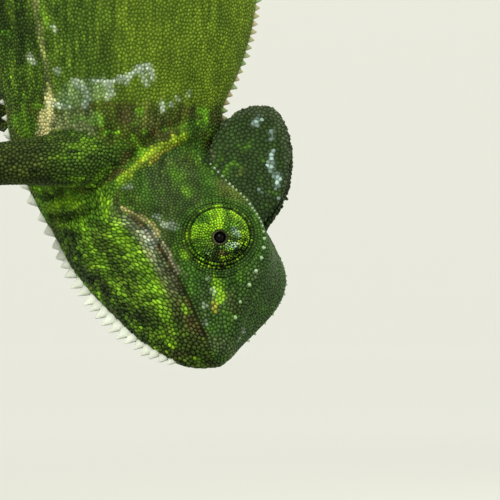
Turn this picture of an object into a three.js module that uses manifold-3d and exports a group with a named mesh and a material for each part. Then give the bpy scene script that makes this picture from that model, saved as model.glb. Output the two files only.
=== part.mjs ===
// A life-size flap-necked chameleon climbing head-down on a short upright branch, on a display stand.
// Millimetres, +Z up. The origin is the centre of the base's underside. The animal's back faces +X, its
// right side faces -Y, and its head hangs towards -Z, turned to its right and raised.
import * as THREE from "three";
import { mergeVertices } from "three/addons/utils/BufferGeometryUtils.js";
import Module from "manifold-3d";

const wasm = await Module();
wasm.setup();

// Driving dimensions
const GAP = 0.3; // clearance between neighbouring pieces
const HALF_RING = 12; // steps from the back to the belly on one side of a body ring
const RING = 2 * HALF_RING;

const BASE = { length: 112, width: 88, height: 8, corner: 14, bevel: 1 };
const PERCH = {
  x: -26, radius: 4.8, bottom: 40, top: 234, sway: 1.1, swayLength: 46, knots: [62, 121, 187],
};
const ROD = { radius: 2.5, intoPerch: 9 };

const SNOUT = new THREE.Vector3(26.3, -14.3, 63.5); // tip of the muzzle, origin of the head's own frame
const HEAD_FORWARD = new THREE.Vector3(0.353, -0.532, -0.77).normalize();
const HEAD_UP = new THREE.Vector3(0.901, -0.027, 0.432);
HEAD_UP.addScaledVector(HEAD_FORWARD, -HEAD_UP.dot(HEAD_FORWARD)).normalize();
const HEAD_RIGHT = new THREE.Vector3().crossVectors(HEAD_FORWARD, HEAD_UP);

const NECK_LENGTH = 15;
const HEAD_LENGTH = 25.5; // muzzle to the last ring of the head
const TRUNK_LENGTH = 81;
const HEAD_START = TRUNK_LENGTH + NECK_LENGTH; // distances along the body run from the tail's root
const BODY_END = HEAD_START + HEAD_LENGTH;
const TRUNK_TOP = 178; // height of the tail's root

// Trunk: distance from the tail's root, the centre's X, half depth back to belly, half width.
const TRUNK = [
  [0, 9.6, 4.9, 4.1],
  [6, 10.3, 6.8, 5.4],
  [16, 11.2, 12.4, 7.9],
  [30, 11.4, 17.9, 9.9],
  [48, 11.2, 20.2, 10.8],
  [67, 11.6, 19.3, 10.4],
  [74, 12.0, 17.4, 9.8],
  [81, 11.9, 14.6, 9.2],
];

// Head, in its own frame: distance behind the muzzle, then the ridge over the eye (height, half width), the
// crown's midline height, half widths at eye level, at the mouth and at the throat, and the throat's depth.
const HEAD = [
  [0.25, 1.1, 0.5, 1.3, 1.0, 1.1, 0.8, -1.9],
  [1.0, 2.1, 1.2, 2.4, 2.1, 2.3, 1.8, -3.5],
  [2.3, 3.5, 2.0, 3.8, 3.1, 3.6, 2.8, -5.1],
  [4.1, 5.6, 3.6, 5.9, 4.3, 4.8, 3.9, -6.5],
  [5.8, 8.1, 4.5, 8.7, 5.0, 5.6, 4.6, -7.6],
  [7.8, 10.4, 5.0, 10.7, 5.3, 6.3, 5.3, -8.7],
  [10.8, 12.1, 5.1, 11.9, 5.6, 7.1, 6.1, -9.9],
  [14.6, 12.5, 4.6, 11.7, 6.1, 8.0, 6.8, -11.2],
  [18.2, 12.1, 3.9, 11.4, 6.8, 8.4, 7.2, -12.3],
  [22.2, 10.6, 3.7, 10.6, 7.4, 8.8, 7.5, -13.2],
  [25.5, 9.3, 3.5, 10.0, 7.9, 9.0, 7.6, -13.6],
];
const RIDGE_LIP = 0.45; // how far the ridge stands out past the face

// The line of the mouth, from in front of the muzzle to behind the jaw's hinge: forward, up.
const MOUTH = [
  [1.5, -0.9], [-2, -0.27], [-7.6, 0.05], [-15.5, -0.6], [-18.2, -1.05], [-20.8, -2.2], [-22.4, -3.7],
  [-27, -7.5],
];

const EYE = {
  centre: [-13.9, 6.4, 4.5], radius: 4.95, back: -1.5, gaze: [0.442, 0.09, 0.892],
  pit: 0.95, pitDepth: 2.0, ball: 0.75,
};

// A neck flap's root on the casque and its free rim, from over the eye to the nape: forward, up, right.
const FLAP = {
  root: [[-15.2, 11.5, 0.6], [-17, 11.9, 1.8], [-19.5, 11.5, 3.2], [-23, 10.3, 3.8], [-26.8, 9.0, 3.9]],
  rim: [
    [-16, 12.5, 0.65], [-17.1, 14.6, 0.65], [-19.3, 17.1, 0.65], [-22.5, 19, 0.65], [-25.9, 20.3, 0.65],
    [-29.2, 20.9, 0.7], [-31.6, 20.4, 1], [-32.5, 18.7, 2], [-32.2, 16.5, 3.4], [-30.9, 14.1, 4.7],
    [-29.4, 12.1, 5.2], [-27.8, 10.3, 4.6],
  ],
  foot: 1.5, web: 0.95, hem: 1.0, hemStart: 0.85, cup: 0.4, sunk: 1.6,
  levels: [-1, 0, 0.3, 0.6, 0.86, 1], // from under the skin to the rim
  columns: 9,
};

// Rows of pointed scales: spacings, how deep they root, and where along the body the rows end.
const CREST = {
  backSpacing: 2, bellySpacing: 1.9, jawSpacing: 1.5, sunk: 0.35, backEnd: 92, bellyStart: 12, chin: 3.4,
};

// Basic solids

function solid(geometry) {
  const bare = geometry.clone();
  for (const name of Object.keys(bare.attributes)) if (name !== "position") bare.deleteAttribute(name);
  const merged = mergeVertices(bare, 1e-4);
  return new wasm.Manifold(
    new wasm.Mesh({
      numProp: 3,
      vertProperties: new Float32Array(merged.attributes.position.array),
      triVerts: new Uint32Array(merged.index.array),
    }),
  );
}

function geometryOf(manifold) {
  const mesh = manifold.getMesh();
  const geometry = new THREE.BufferGeometry();
  geometry.setAttribute("position", new THREE.BufferAttribute(mesh.vertProperties, mesh.numProp));
  geometry.setIndex(new THREE.BufferAttribute(mesh.triVerts, 1));
  geometry.computeVertexNormals();
  return geometry;
}

// A closed skin over rings of equally many points. Rings run anticlockwise seen from the far end.
function loft(rings) {
  const points = rings.flat();
  const sides = rings[0].length;
  const index = [];
  for (let r = 0; r + 1 < rings.length; r++) {
    for (let i = 0; i < sides; i++) {
      const a = r * sides + i;
      const b = r * sides + ((i + 1) % sides);
      index.push(a, b, a + sides, b, b + sides, a + sides);
    }
  }
  for (const [ring, first] of [[rings[0], 0], [rings[rings.length - 1], (rings.length - 1) * sides]]) {
    const middle = points.length;
    points.push(ring.reduce((sum, p) => sum.add(p), new THREE.Vector3()).divideScalar(sides));
    for (let i = 0; i < sides; i++) {
      const pair = [first + i, first + ((i + 1) % sides)];
      index.push(middle, ...(first === 0 ? pair.reverse() : pair));
    }
  }
  const geometry = new THREE.BufferGeometry().setFromPoints(points);
  geometry.setIndex(index);
  const made = solid(geometry);
  if (made.volume() > 0) return made;
  for (let i = 0; i < index.length; i += 3) [index[i + 1], index[i + 2]] = [index[i + 2], index[i + 1]];
  geometry.setIndex(index);
  return solid(geometry);
}

// Smooth interpolation in a table whose first column rises.
function profile(table, at) {
  const last = table.length - 1;
  const x = THREE.MathUtils.clamp(at, table[0][0], table[last][0]);
  let k = 0;
  while (k < last - 1 && x > table[k + 1][0]) k++;
  const [p0, p1, p2, p3] = [table[Math.max(k - 1, 0)], table[k], table[k + 1], table[Math.min(k + 2, last)]];
  const span = p2[0] - p1[0];
  const t = (x - p1[0]) / span;
  return p1.slice(1).map((value, j) => {
    const c = j + 1;
    const into = ((p2[c] - p0[c]) / (p2[0] - p0[0])) * span;
    const outOf = ((p3[c] - p1[c]) / (p3[0] - p1[0])) * span;
    const rise = p2[c] - value;
    return value + t * (into + t * (3 * rise - 2 * into - outOf + t * (into + outOf - 2 * rise)));
  });
}

function inHead([forward, up, right]) {
  return SNOUT.clone()
    .addScaledVector(HEAD_FORWARD, forward)
    .addScaledVector(HEAD_UP, up)
    .addScaledVector(HEAD_RIGHT, right);
}

// The trunk, neck and head as rings of [up, right] places round a reference line

function trunkSection(distance) {
  const [, depth, width] = profile(TRUNK, distance);
  return Array.from({ length: RING }, (_, i) => {
    const angle = (i / RING) * 2 * Math.PI;
    const up = Math.cos(angle);
    const keel = 1 - 0.3 * Math.max(up, 0) ** 3 - 0.12 * Math.max(-up, 0) ** 4;
    return [depth * up, width * Math.sin(angle) * keel * (1 - 0.1 * up)];
  });
}

// Two or three steps between each pair of neighbouring landmarks, so that the ridge and lips stay crisp.
const LANDMARK_STEPS = [2, 3, 2, 2, 3];

function headSection(behind) {
  const [ridgeUp, ridge, crown, face, mouth, throat, depth] = profile(HEAD, behind);
  const half = [
    [crown, 0],
    [ridgeUp, ridge + RIDGE_LIP * Math.min(ridge / 4, 1)],
    [ridgeUp * 0.5, face],
    [-0.3, mouth],
    [depth * 0.55, throat * 0.93],
    [depth, 0],
  ];
  const loop = [...half, ...half.slice(1, -1).reverse().map(([up, side]) => [up, -side])];
  const curve = new THREE.CatmullRomCurve3(loop.map(([u, s]) => new THREE.Vector3(u, s, 0)), true);
  const steps = [...LANDMARK_STEPS, ...[...LANDMARK_STEPS].reverse()];
  return steps.flatMap((count, k) =>
    Array.from({ length: count }, (_, i) => {
      const p = curve.getPoint((k + i / count) / loop.length);
      return [p.x, p.y];
    }),
  );
}

const TRUNK_BASIS = new THREE.Matrix4().makeBasis(
  new THREE.Vector3(0, 0, -1),
  new THREE.Vector3(1, 0, 0),
  new THREE.Vector3(0, -1, 0),
);
const HEAD_BASIS = new THREE.Matrix4().makeBasis(HEAD_FORWARD, HEAD_UP, HEAD_RIGHT);
const TRUNK_TURN = new THREE.Quaternion().setFromRotationMatrix(TRUNK_BASIS);
const HEAD_TURN = new THREE.Quaternion().setFromRotationMatrix(HEAD_BASIS);

function axisPoint(distance) {
  if (distance <= TRUNK_LENGTH) {
    return new THREE.Vector3(profile(TRUNK, distance)[0], 0, TRUNK_TOP - distance);
  }
  if (distance >= HEAD_START) return inHead([distance - HEAD_START - HEAD_LENGTH, 0, 0]);
  const from = axisPoint(TRUNK_LENGTH);
  const to = axisPoint(HEAD_START);
  const pull = NECK_LENGTH * 0.4;
  return new THREE.CubicBezierCurve3(
    from,
    from.clone().add(new THREE.Vector3(0, 0, -pull)),
    to.clone().addScaledVector(HEAD_FORWARD, -pull),
    to,
  ).getPoint((distance - TRUNK_LENGTH) / NECK_LENGTH);
}

// One ring of the body, grown outwards by grow.
function bodyRing(distance, grow = 0) {
  const share = THREE.MathUtils.clamp((distance - TRUNK_LENGTH) / NECK_LENGTH, 0, 1);
  const ease = share * share * (3 - 2 * share);
  const turn = TRUNK_TURN.clone().slerp(HEAD_TURN, ease);
  const centre = axisPoint(distance);
  const trunk = trunkSection(Math.min(distance, TRUNK_LENGTH));
  const head = headSection(HEAD_LENGTH - Math.max(distance - HEAD_START, 0));
  return trunk.map(([up, right], i) => {
    const mixed = new THREE.Vector3(0, up + (head[i][0] - up) * ease, right + (head[i][1] - right) * ease);
    mixed.setLength(mixed.length() + grow);
    return mixed.applyQuaternion(turn).add(centre);
  });
}

function bodyPiece(from, to, step, grow = 0) {
  const count = Math.max(2, Math.round((to - from) / step));
  return loft(Array.from({ length: count + 1 }, (_, k) => bodyRing(from + ((to - from) * k) / count, grow)));
}

// A row of small pointed scales along the back (ring place 0) or the belly (ring place HALF_RING).
function spikes(from, to, place, heightAt, spacing) {
  const made = [];
  for (let d = from + spacing * 0.6; d < to - spacing * 0.4; d += spacing) {
    const root = bodyRing(d)[place];
    const out = root.clone().sub(bodyRing(d)[(place + HALF_RING) % RING]).normalize();
    const height = heightAt(d);
    made.push(spike(root.addScaledVector(out, -CREST.sunk), out, height + CREST.sunk, height * 0.5));
  }
  return made;
}

function spike(root, out, height, radius) {
  const cone = new THREE.ConeGeometry(radius, height, 4).translate(0, height / 2, 0);
  cone.applyQuaternion(new THREE.Quaternion().setFromUnitVectors(new THREE.Vector3(0, 1, 0), out));
  return solid(cone.translate(root.x, root.y, root.z));
}

// Heights along the body: tallest under the middle of the jaw, small on the chin, the neck and the belly.
const throatSpike = (d) => Math.max(1.5 - 0.9 * ((BODY_END - 14 - d) / 12) ** 2, 0.65);
const bellySpike = (d) => (d > TRUNK_LENGTH ? throatSpike(d) : 0.65);
const backSpike = (d) => 0.7 + 0.5 * Math.sin((Math.PI * Math.min(d, CREST.backEnd)) / CREST.backEnd);

function crested(piece, from, to) {
  return wasm.Manifold.union([
    piece,
    ...spikes(Math.max(from, CREST.bellyStart), to, HALF_RING, bellySpike, CREST.bellySpacing),
    ...spikes(from, Math.min(to, CREST.backEnd), 0, backSpike, CREST.backSpacing),
  ]);
}

// Head pieces: the mouth's cut parts the cranium from the lower jaw

function mouthCut() {
  const half = GAP / 2;
  const line = MOUTH.map(([x, y]) => new THREE.Vector2(x, y));
  const outline = [
    ...line.map((p) => new THREE.Vector2(p.x, p.y + half)),
    ...line.reverse().map((p) => new THREE.Vector2(p.x, p.y - half)),
  ];
  const depth = 30; // more than the head is wide
  const slab = new THREE.ExtrudeGeometry(new THREE.Shape(outline), { depth, bevelEnabled: false });
  slab.translate(0, 0, -depth / 2).applyMatrix4(HEAD_BASIS.clone().setPosition(SNOUT));
  return solid(slab);
}

function eyeTurn(side) {
  const [forward, up, right] = EYE.gaze;
  const gaze = HEAD_FORWARD.clone().multiplyScalar(forward)
    .addScaledVector(HEAD_UP, up)
    .addScaledVector(HEAD_RIGHT, right * side)
    .normalize();
  return new THREE.Quaternion().setFromUnitVectors(new THREE.Vector3(0, 1, 0), gaze);
}

function placeEye(geometry, side) {
  const [forward, up, right] = EYE.centre;
  const at = inHead([forward, up, right * side]);
  return solid(geometry.applyQuaternion(eyeTurn(side)).translate(at.x, at.y, at.z));
}

function domeProfile(radius, back, fromAngle, steps) {
  const widest = Math.asin(back / radius);
  return Array.from({ length: steps + 1 }, (_, k) => {
    const angle = widest + ((fromAngle - widest) * k) / steps;
    return new THREE.Vector2(radius * Math.cos(angle), radius * Math.sin(angle));
  });
}

function turret(side) {
  const rim = Math.acos(EYE.pit / EYE.radius);
  const outline = [
    new THREE.Vector2(0, EYE.back),
    ...domeProfile(EYE.radius, EYE.back, rim, 6),
    new THREE.Vector2(EYE.pit, EYE.radius - EYE.pitDepth),
    new THREE.Vector2(0, EYE.radius - EYE.pitDepth),
  ];
  return placeEye(new THREE.LatheGeometry(outline, 20), side);
}

function socket(side) {
  const outline = [
    new THREE.Vector2(0, EYE.back - GAP),
    ...domeProfile(EYE.radius + GAP, EYE.back - GAP, Math.PI / 2 - 0.05, 5),
    new THREE.Vector2(0, EYE.radius + GAP),
  ];
  return placeEye(new THREE.LatheGeometry(outline, 20), side);
}

function eyeball(side) {
  const foot = EYE.radius - EYE.pitDepth + 0.2;
  const top = EYE.radius - 0.15;
  const outline = [new THREE.Vector2(0, foot), new THREE.Vector2(EYE.ball * 0.8, foot)];
  for (let k = 0; k <= 3; k++) {
    const angle = (k / 3) * (Math.PI / 2);
    const x = k === 3 ? 0 : EYE.ball * Math.cos(angle);
    outline.push(new THREE.Vector2(x, top - EYE.ball + EYE.ball * Math.sin(angle)));
  }
  return placeEye(new THREE.LatheGeometry(outline, 10), side);
}

// A neck flap raised like an ear: it grows from the crown over the eye back along the casque's ridge, leans
// in to meet its fellow over the crown, and spreads over the nape. Face is 1 for its outer side, -1 within.
const flapRoot = new THREE.CatmullRomCurve3(FLAP.root.map((p) => new THREE.Vector3(...p)));
const flapRim = new THREE.CatmullRomCurve3(FLAP.rim.map((p) => new THREE.Vector3(...p)));

function flapPoint(u, v, face, side) {
  const root = flapRoot.getPoint(u);
  const rise = flapRim.getPoint(u).sub(root);
  const normal = new THREE.Vector3().crossVectors(rise, flapRoot.getTangent(u)).normalize();
  const at = v < 0 ? root.addScaledVector(rise.normalize(), v * FLAP.sunk) : root.addScaledVector(rise, v);
  const thinned = FLAP.foot + (FLAP.web - FLAP.foot) * THREE.MathUtils.clamp(2 * v, 0, 1);
  const thickness = v < FLAP.hemStart ? thinned : FLAP.hem;
  const bow = FLAP.cup * Math.sin(Math.PI * THREE.MathUtils.clamp(v, 0, 1)) * Math.sin(Math.PI * u);
  at.addScaledVector(normal, face * (thickness / 2) - bow);
  return inHead([at.x, at.y, side * at.z]);
}

function flap(side, parted) {
  const rings = Array.from({ length: FLAP.columns + 1 }, (_, k) => {
    const u = k / FLAP.columns;
    return [
      ...FLAP.levels.map((v) => flapPoint(u, v, 1, side)),
      ...[...FLAP.levels].reverse().map((v) => flapPoint(u, v, -1, side)),
    ];
  });
  const outward = HEAD_RIGHT.clone().multiplyScalar(side);
  const own = loft(rings).trimByPlane(outward.toArray(), outward.dot(SNOUT) + GAP / 2);
  return own.subtract(parted);
}

// Limbs: one smooth tapered tube from the shoulder or hip to the grip, parted at the joints

function perchCentre(z) {
  const phase = z / PERCH.swayLength;
  return new THREE.Vector3(PERCH.x + PERCH.sway * Math.sin(phase * 2), PERCH.sway * Math.cos(phase * 2), z);
}

// Slightly ribbed round its bark, with a few swollen knots.
function perchRadius(z, angle) {
  const swell = PERCH.knots.reduce((sum, knot, k) => {
    const near = Math.exp(-(((z - knot) / 5) ** 2));
    return sum + near * (0.5 + 0.35 * Math.cos(angle - 1.9 * k));
  }, 0);
  return PERCH.radius + 0.22 * Math.sin(3 * angle + z / 23) + swell;
}

function perch(grow = 0) {
  const levels = 16;
  const sides = 12;
  const rings = Array.from({ length: levels + 1 }, (_, k) => {
    const z = PERCH.bottom + ((PERCH.top - PERCH.bottom) * k) / levels;
    return Array.from({ length: sides }, (_, i) => {
      const angle = (i / sides) * 2 * Math.PI;
      const radius = perchRadius(z, angle) + grow;
      return perchCentre(z).add(new THREE.Vector3(radius * Math.cos(angle), radius * Math.sin(angle), 0));
    });
  });
  return loft(rings);
}

// A tube with an oval section along part of a curve; radii is a table of [share, radius].
function tube(curve, from, to, count, sides, radii, startUp, oval = 1) {
  const rings = [];
  let up = startUp.clone();
  for (let k = 0; k <= count; k++) {
    const share = from + ((to - from) * k) / count;
    const forward = curve.getTangentAt(Math.min(share, 1));
    up.addScaledVector(forward, -up.dot(forward)).normalize();
    const right = new THREE.Vector3().crossVectors(forward, up);
    const [radius] = profile(radii, share);
    const centre = curve.getPointAt(Math.min(share, 1));
    rings.push(
      Array.from({ length: sides }, (_, i) => {
        const angle = (i / sides) * 2 * Math.PI;
        return centre.clone()
          .addScaledVector(up, radius * Math.cos(angle))
          .addScaledVector(right, radius * oval * Math.sin(angle));
      }),
    );
  }
  return loft(rings);
}

const ARM = { thick: [3.8, 3.1, 2.7, 2.6, 1.8], parts: ["upper_arm", "forearm", "forefoot"], inner: 3 };
const LEG = { thick: [5.6, 4.4, 3.0, 2.9, 1.9], parts: ["thigh", "shank", "hindfoot"], inner: 2 };
const LIMBS = {
  right_arm: {
    ...ARM, side: -1, root: [12, -5, 90.4], bend: [-8, -13.5, 88.2], end: [-19.8, -8.6, 82.5], grip: 79,
  },
  left_arm: {
    ...ARM, side: 1, root: [12, 4.8, 93.5], bend: [-7, 14, 98], end: [-19.8, 8.6, 104], grip: 107.5,
  },
  right_leg: {
    ...LEG, side: -1, root: [9.5, -3.6, 162], bend: [-7, -14, 151], end: [-19.6, -8.8, 159.5], grip: 163.5,
  },
  left_leg: {
    ...LEG, side: 1, root: [9.5, 3.6, 162], bend: [-8, 14, 147], end: [-19.6, 8.8, 139], grip: 135.5,
  },
};
// Toes: thick at the palm and thinner at the tip, reaching this many radians round the branch.
const TOE = { radius: 1.95, tip: 1.35, reach: 1.45, steps: 4, spread: 1.2, clear: 0.15, slant: 0.5 };
const CLAW = { length: 2.6, radius: 0.55, sunk: 0.5, inward: 0.35 };

function gripPoint(angle, z, lift) {
  const radius = PERCH.radius + lift;
  return perchCentre(z).add(new THREE.Vector3(radius * Math.cos(angle), radius * Math.sin(angle), 0));
}

// Toes fused in a bundle that wraps one side of the branch, with a claw for each toe.
function toeBundle(angle, turn, z, toes) {
  const path = Array.from({ length: TOE.steps + 1 }, (_, k) => {
    const share = k / TOE.steps;
    const lift = TOE.radius + TOE.clear - (TOE.radius - TOE.tip) * share;
    return gripPoint(angle + turn * TOE.reach * share, z + turn * TOE.slant, lift);
  });
  const curve = new THREE.CatmullRomCurve3(path);
  const oval = 0.7 + 0.17 * toes;
  const radii = [[0, TOE.radius], [0.6, TOE.radius * 0.95], [1, TOE.tip]];
  const tip = path[TOE.steps];
  const up = path[0].clone().sub(perchCentre(z)).setZ(0).normalize();
  const bundle = [tube(curve, 0, 1, TOE.steps, 6, radii, up, oval)];
  const tangent = curve.getTangentAt(1);
  const inward = perchCentre(z).sub(tip).setZ(0).normalize();
  for (let k = 0; k < toes; k++) {
    const offset = (k - (toes - 1) / 2) * TOE.spread;
    const root = tip.clone().addScaledVector(tangent, -CLAW.sunk).add(new THREE.Vector3(0, 0, offset));
    const out = tangent.clone().addScaledVector(inward, CLAW.inward).normalize();
    bundle.push(spike(root, out, CLAW.length, CLAW.radius));
  }
  return bundle;
}

function limb(name, spec, body, branch) {
  const root = new THREE.Vector3(...spec.root);
  const bend = new THREE.Vector3(...spec.bend);
  const end = new THREE.Vector3(...spec.end);
  const centre = perchCentre(spec.grip);
  const angle = Math.atan2(end.y - centre.y, end.x - centre.x);
  const palm = gripPoint(angle, spec.grip, TOE.radius + 0.2);
  const curve = new THREE.CatmullRomCurve3([root, bend, end, palm], false, "centripetal");
  const length = curve.getLength();
  const joint = root.distanceTo(bend) / length;
  const wrist = (root.distanceTo(bend) + bend.distanceTo(end)) / length;
  const [t0, t1, t2, t3, t4] = spec.thick;
  const radii = [
    [0, t0 * 0.45], [joint * 0.1, t0 * 0.85], [joint * 0.25, t0], [joint * 0.6, t1], [joint, t2],
    [(joint + wrist) / 2, t3], [wrist, t4], [1, t4 + 0.35],
  ];
  const split = GAP / 2 / length;
  const sideways = new THREE.Vector3(0, spec.side, 0.2).normalize();
  const make = (from, to, count) => tube(curve, from, to, count, 9, radii, sideways);
  const upper = make(0, joint - split, 6).subtract(body);
  const lower = make(joint + split, wrist - split, 4).subtract(branch);
  const hand = wasm.Manifold.union([
    make(wrist + split, 1, 2),
    ...toeBundle(angle, 1, spec.grip, spec.inner),
    ...toeBundle(angle, -1, spec.grip, 5 - spec.inner),
  ]);
  const forearmRoom = make(joint + split, wrist, 4);
  const side = name.split("_")[0];
  return [
    [`${side}_${spec.parts[0]}`, largest(upper)],
    [`${side}_${spec.parts[1]}`, largest(lower)],
    [`${side}_${spec.parts[2]}`, largest(hand.subtract(branch).subtract(forearmRoom))],
  ];
}

function pieces(manifold) {
  return manifold.decompose().sort((a, b) => b.volume() - a.volume());
}

function largest(manifold) {
  return pieces(manifold)[0];
}

function centreOf(manifold) {
  const { min, max } = manifold.boundingBox();
  return new THREE.Vector3(...min).add(new THREE.Vector3(...max)).divideScalar(2);
}

// Tail: up from the pelvis, across to the branch and round it

const TAIL = {
  lead: [[9.6, 0, TRUNK_TOP + GAP], [8.8, -0.6, 186], [3.6, -3, 196], [-6.5, -6, 203.5], [-17, -7.6, 207.5]],
  radii: [[0, 4.6], [0.08, 4.1], [0.3, 3.1], [0.6, 2.1], [0.85, 1.2], [1, 0.65]],
  start: 209, rise: 8, turns: 2.1, lengths: 5, steps: 9,
};

function tailCurve() {
  const points = TAIL.lead.map((p) => new THREE.Vector3(...p));
  const stops = Math.round(TAIL.turns * 10);
  for (let k = 0; k <= stops; k++) {
    const turned = (k / stops) * TAIL.turns;
    const share = 0.33 + (0.65 * k) / stops;
    const lift = profile(TAIL.radii, share)[0] + 0.45;
    points.push(gripPoint(-Math.PI / 2 - turned * 2 * Math.PI, TAIL.start + TAIL.rise * turned, lift));
  }
  return new THREE.CatmullRomCurve3(points, false, "centripetal");
}

function tailPieces(branch) {
  const curve = tailCurve();
  const split = GAP / 2 / curve.getLength();
  const back = new THREE.Vector3(1, 0, 0);
  return Array.from({ length: TAIL.lengths }, (_, k) => {
    const from = k / TAIL.lengths + (k ? split : 0);
    const to = (k + 1) / TAIL.lengths - split;
    const piece = tube(curve, from, to, TAIL.steps, 9, TAIL.radii, back, 0.9);
    const clear = piece.subtract(branch).trimByPlane([0, 0, 1], TRUNK_TOP + GAP / 2);
    return [`tail_${k + 1}`, largest(clear)];
  });
}

// Display stand

function standBase() {
  const { length, width, height, corner, bevel } = BASE;
  const [x, y] = [length / 2 - corner, width / 2 - corner];
  const outline = new THREE.Shape();
  outline.absarc(x, y, corner, 0, Math.PI / 2);
  outline.absarc(-x, y, corner, Math.PI / 2, Math.PI);
  outline.absarc(-x, -y, corner, Math.PI, 1.5 * Math.PI);
  outline.absarc(x, -y, corner, 1.5 * Math.PI, 2 * Math.PI);
  const plate = new THREE.ExtrudeGeometry(outline, {
    depth: height - 2 * bevel, curveSegments: 4,
    bevelSize: bevel, bevelThickness: bevel, bevelSegments: 1, bevelOffset: -bevel,
  });
  return plate.translate(0, 0, bevel);
}

function standRod() {
  const bottom = BASE.height + GAP;
  const top = PERCH.bottom + ROD.intoPerch;
  const rod = new THREE.CylinderGeometry(ROD.radius, ROD.radius, top - bottom, 20).rotateX(Math.PI / 2);
  const foot = perchCentre(PERCH.bottom);
  return rod.translate(foot.x, foot.y, (top + bottom) / 2);
}

function rodHole() {
  const hole = new THREE.CylinderGeometry(ROD.radius + GAP, ROD.radius + GAP, ROD.intoPerch + 2, 20);
  const foot = perchCentre(PERCH.bottom);
  hole.rotateX(Math.PI / 2).translate(foot.x, foot.y, PERCH.bottom - 1 + GAP / 2 + ROD.intoPerch / 2);
  return solid(hole);
}

// Finishes

const skin = new THREE.MeshStandardMaterial({ name: "skin", color: 0x4f7a1e, roughness: 0.6 });
const flapSkin = new THREE.MeshStandardMaterial({ name: "flap", color: 0x3d5a2c, roughness: 0.6 });
const pupil = new THREE.MeshStandardMaterial({ name: "eye", color: 0x0a090d, roughness: 0.1 });
const bark = new THREE.MeshStandardMaterial({ name: "bark", color: 0x6b5440, roughness: 0.9 });
const wood = new THREE.MeshStandardMaterial({ name: "base", color: 0x2c2019, roughness: 0.5 });
const steel = new THREE.MeshStandardMaterial({ name: "rod", color: 0xb8b8ba, roughness: 0.3, metalness: 1 });

const model = new THREE.Group();

function add(name, shape, material) {
  const geometry = shape.isBufferGeometry ? shape : geometryOf(shape);
  const mesh = new THREE.Mesh(geometry, material);
  mesh.name = name;
  model.add(mesh);
}

// Trunk and neck
const CUTS = { pelvis: [0, 17, 5], abdomen: [17, 46, 7], chest: [46, 78, 6.5], neck: [78, HEAD_START, 3.7] };
for (const [name, [from, to, step]] of Object.entries(CUTS)) {
  const [start, stop] = [from + GAP / 2, to - GAP / 2];
  add(name, crested(bodyPiece(start, stop, step), start, stop), skin);
}

// Head
const head = bodyPiece(HEAD_START + GAP / 2, BODY_END, 1.9);
const sockets = socket(1).add(socket(-1));
const [upper, lower] = pieces(head.subtract(sockets).subtract(mouthCut()))
  .slice(0, 2)
  .sort((a, b) => centreOf(b).dot(HEAD_UP) - centreOf(a).dot(HEAD_UP));
const jawEnd = BODY_END - CREST.chin;
const throatCones = spikes(HEAD_START + GAP, jawEnd, HALF_RING, throatSpike, CREST.jawSpacing);
add("cranium", upper, skin);
add("lower_jaw", wasm.Manifold.union([lower, ...throatCones]), skin);

const headRoom = bodyPiece(TRUNK_LENGTH - 4, BODY_END, 2.5, GAP);
for (const [name, side] of [["right", 1], ["left", -1]]) {
  add(`${name}_eye_turret`, turret(side), skin);
  add(`${name}_eye`, eyeball(side), pupil);
  add(`${name}_neck_flap`, largest(flap(side, headRoom)), flapSkin);
}

// Limbs and tail
const bodyRoom = bodyPiece(0, HEAD_START + 10, 3.5, GAP);
const branchRoom = perch(GAP);
for (const [name, spec] of Object.entries(LIMBS)) {
  for (const [node, shape] of limb(name, spec, bodyRoom, branchRoom)) add(node, shape, skin);
}
for (const [node, shape] of tailPieces(branchRoom)) add(node, shape, skin);

// Perch and stand
add("perch", perch().subtract(rodHole()), bark);
add("stand_base", standBase(), wood);
add("stand_rod", standRod(), steel);

export default model;
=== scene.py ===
"""Looks of a life-size flap-necked chameleon climbing head-down on a short branch, on a display stand.

Lengths are in millimetres until a mesh is made; materials, lights and the camera are in metres. One closed
skin stands for the flesh; solid scales, crest cones, claws and eyes are set on it. Markings are worked out for
the right side and mirrored to the left.
"""

import math

import bpy
import numpy as np
from mathutils import Matrix, Vector, bvhtree, kdtree


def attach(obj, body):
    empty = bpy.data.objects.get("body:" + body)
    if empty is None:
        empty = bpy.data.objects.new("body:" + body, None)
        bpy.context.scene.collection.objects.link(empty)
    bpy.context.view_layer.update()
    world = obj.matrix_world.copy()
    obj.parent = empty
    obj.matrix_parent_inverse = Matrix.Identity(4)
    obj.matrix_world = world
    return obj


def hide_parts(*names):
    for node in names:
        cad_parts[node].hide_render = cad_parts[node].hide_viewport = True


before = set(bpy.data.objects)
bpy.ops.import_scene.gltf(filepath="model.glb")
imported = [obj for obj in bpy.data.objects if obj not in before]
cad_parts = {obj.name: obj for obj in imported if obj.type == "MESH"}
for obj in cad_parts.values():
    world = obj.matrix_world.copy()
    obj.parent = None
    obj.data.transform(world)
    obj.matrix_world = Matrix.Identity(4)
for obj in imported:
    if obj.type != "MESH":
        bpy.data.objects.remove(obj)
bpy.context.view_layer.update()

MM = 0.001
SEED = 7
COAT_DEPTH = 0.16  # how far the skin lies inside the flesh solids
VOXEL = 0.34  # the size of the skin's mesh
SEAM_REACH = 9  # how many mesh steps the smoothing round a joint spreads
SEAM_ROUNDS = 40
FLOW_ROUNDS = 14  # how far the streaks in the colours are drawn out

BRIGHTEST = 0.58  # the lightest that a scale may be
SCALE_SPREAD = 0.777  # how near to each other scales may be rooted, in their own lengths
SCALE_REACH = 0.68  # how far a scale may reach where it meets no neighbour, in its own lengths
SCALE_GAP = 0.03
SCALE_SUNK = 0.08
TOP_SHADE, SIDE_SHADE = 1.1, 0.95  # how much of its colour a scale's top and side keep: the top is brightened as a painted highlight, the side a little darkened as painted shade
GROOVE_SHARE = 0.76  # how near to a groove's line the scales beside it come
PATCH = 0.0015  # half the size of a scale's place on the map
MOST_TRIANGLES = 190000
EYES = ("right_eye", "left_eye")

# The animal's own dimensions, the same as the solids'.

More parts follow.
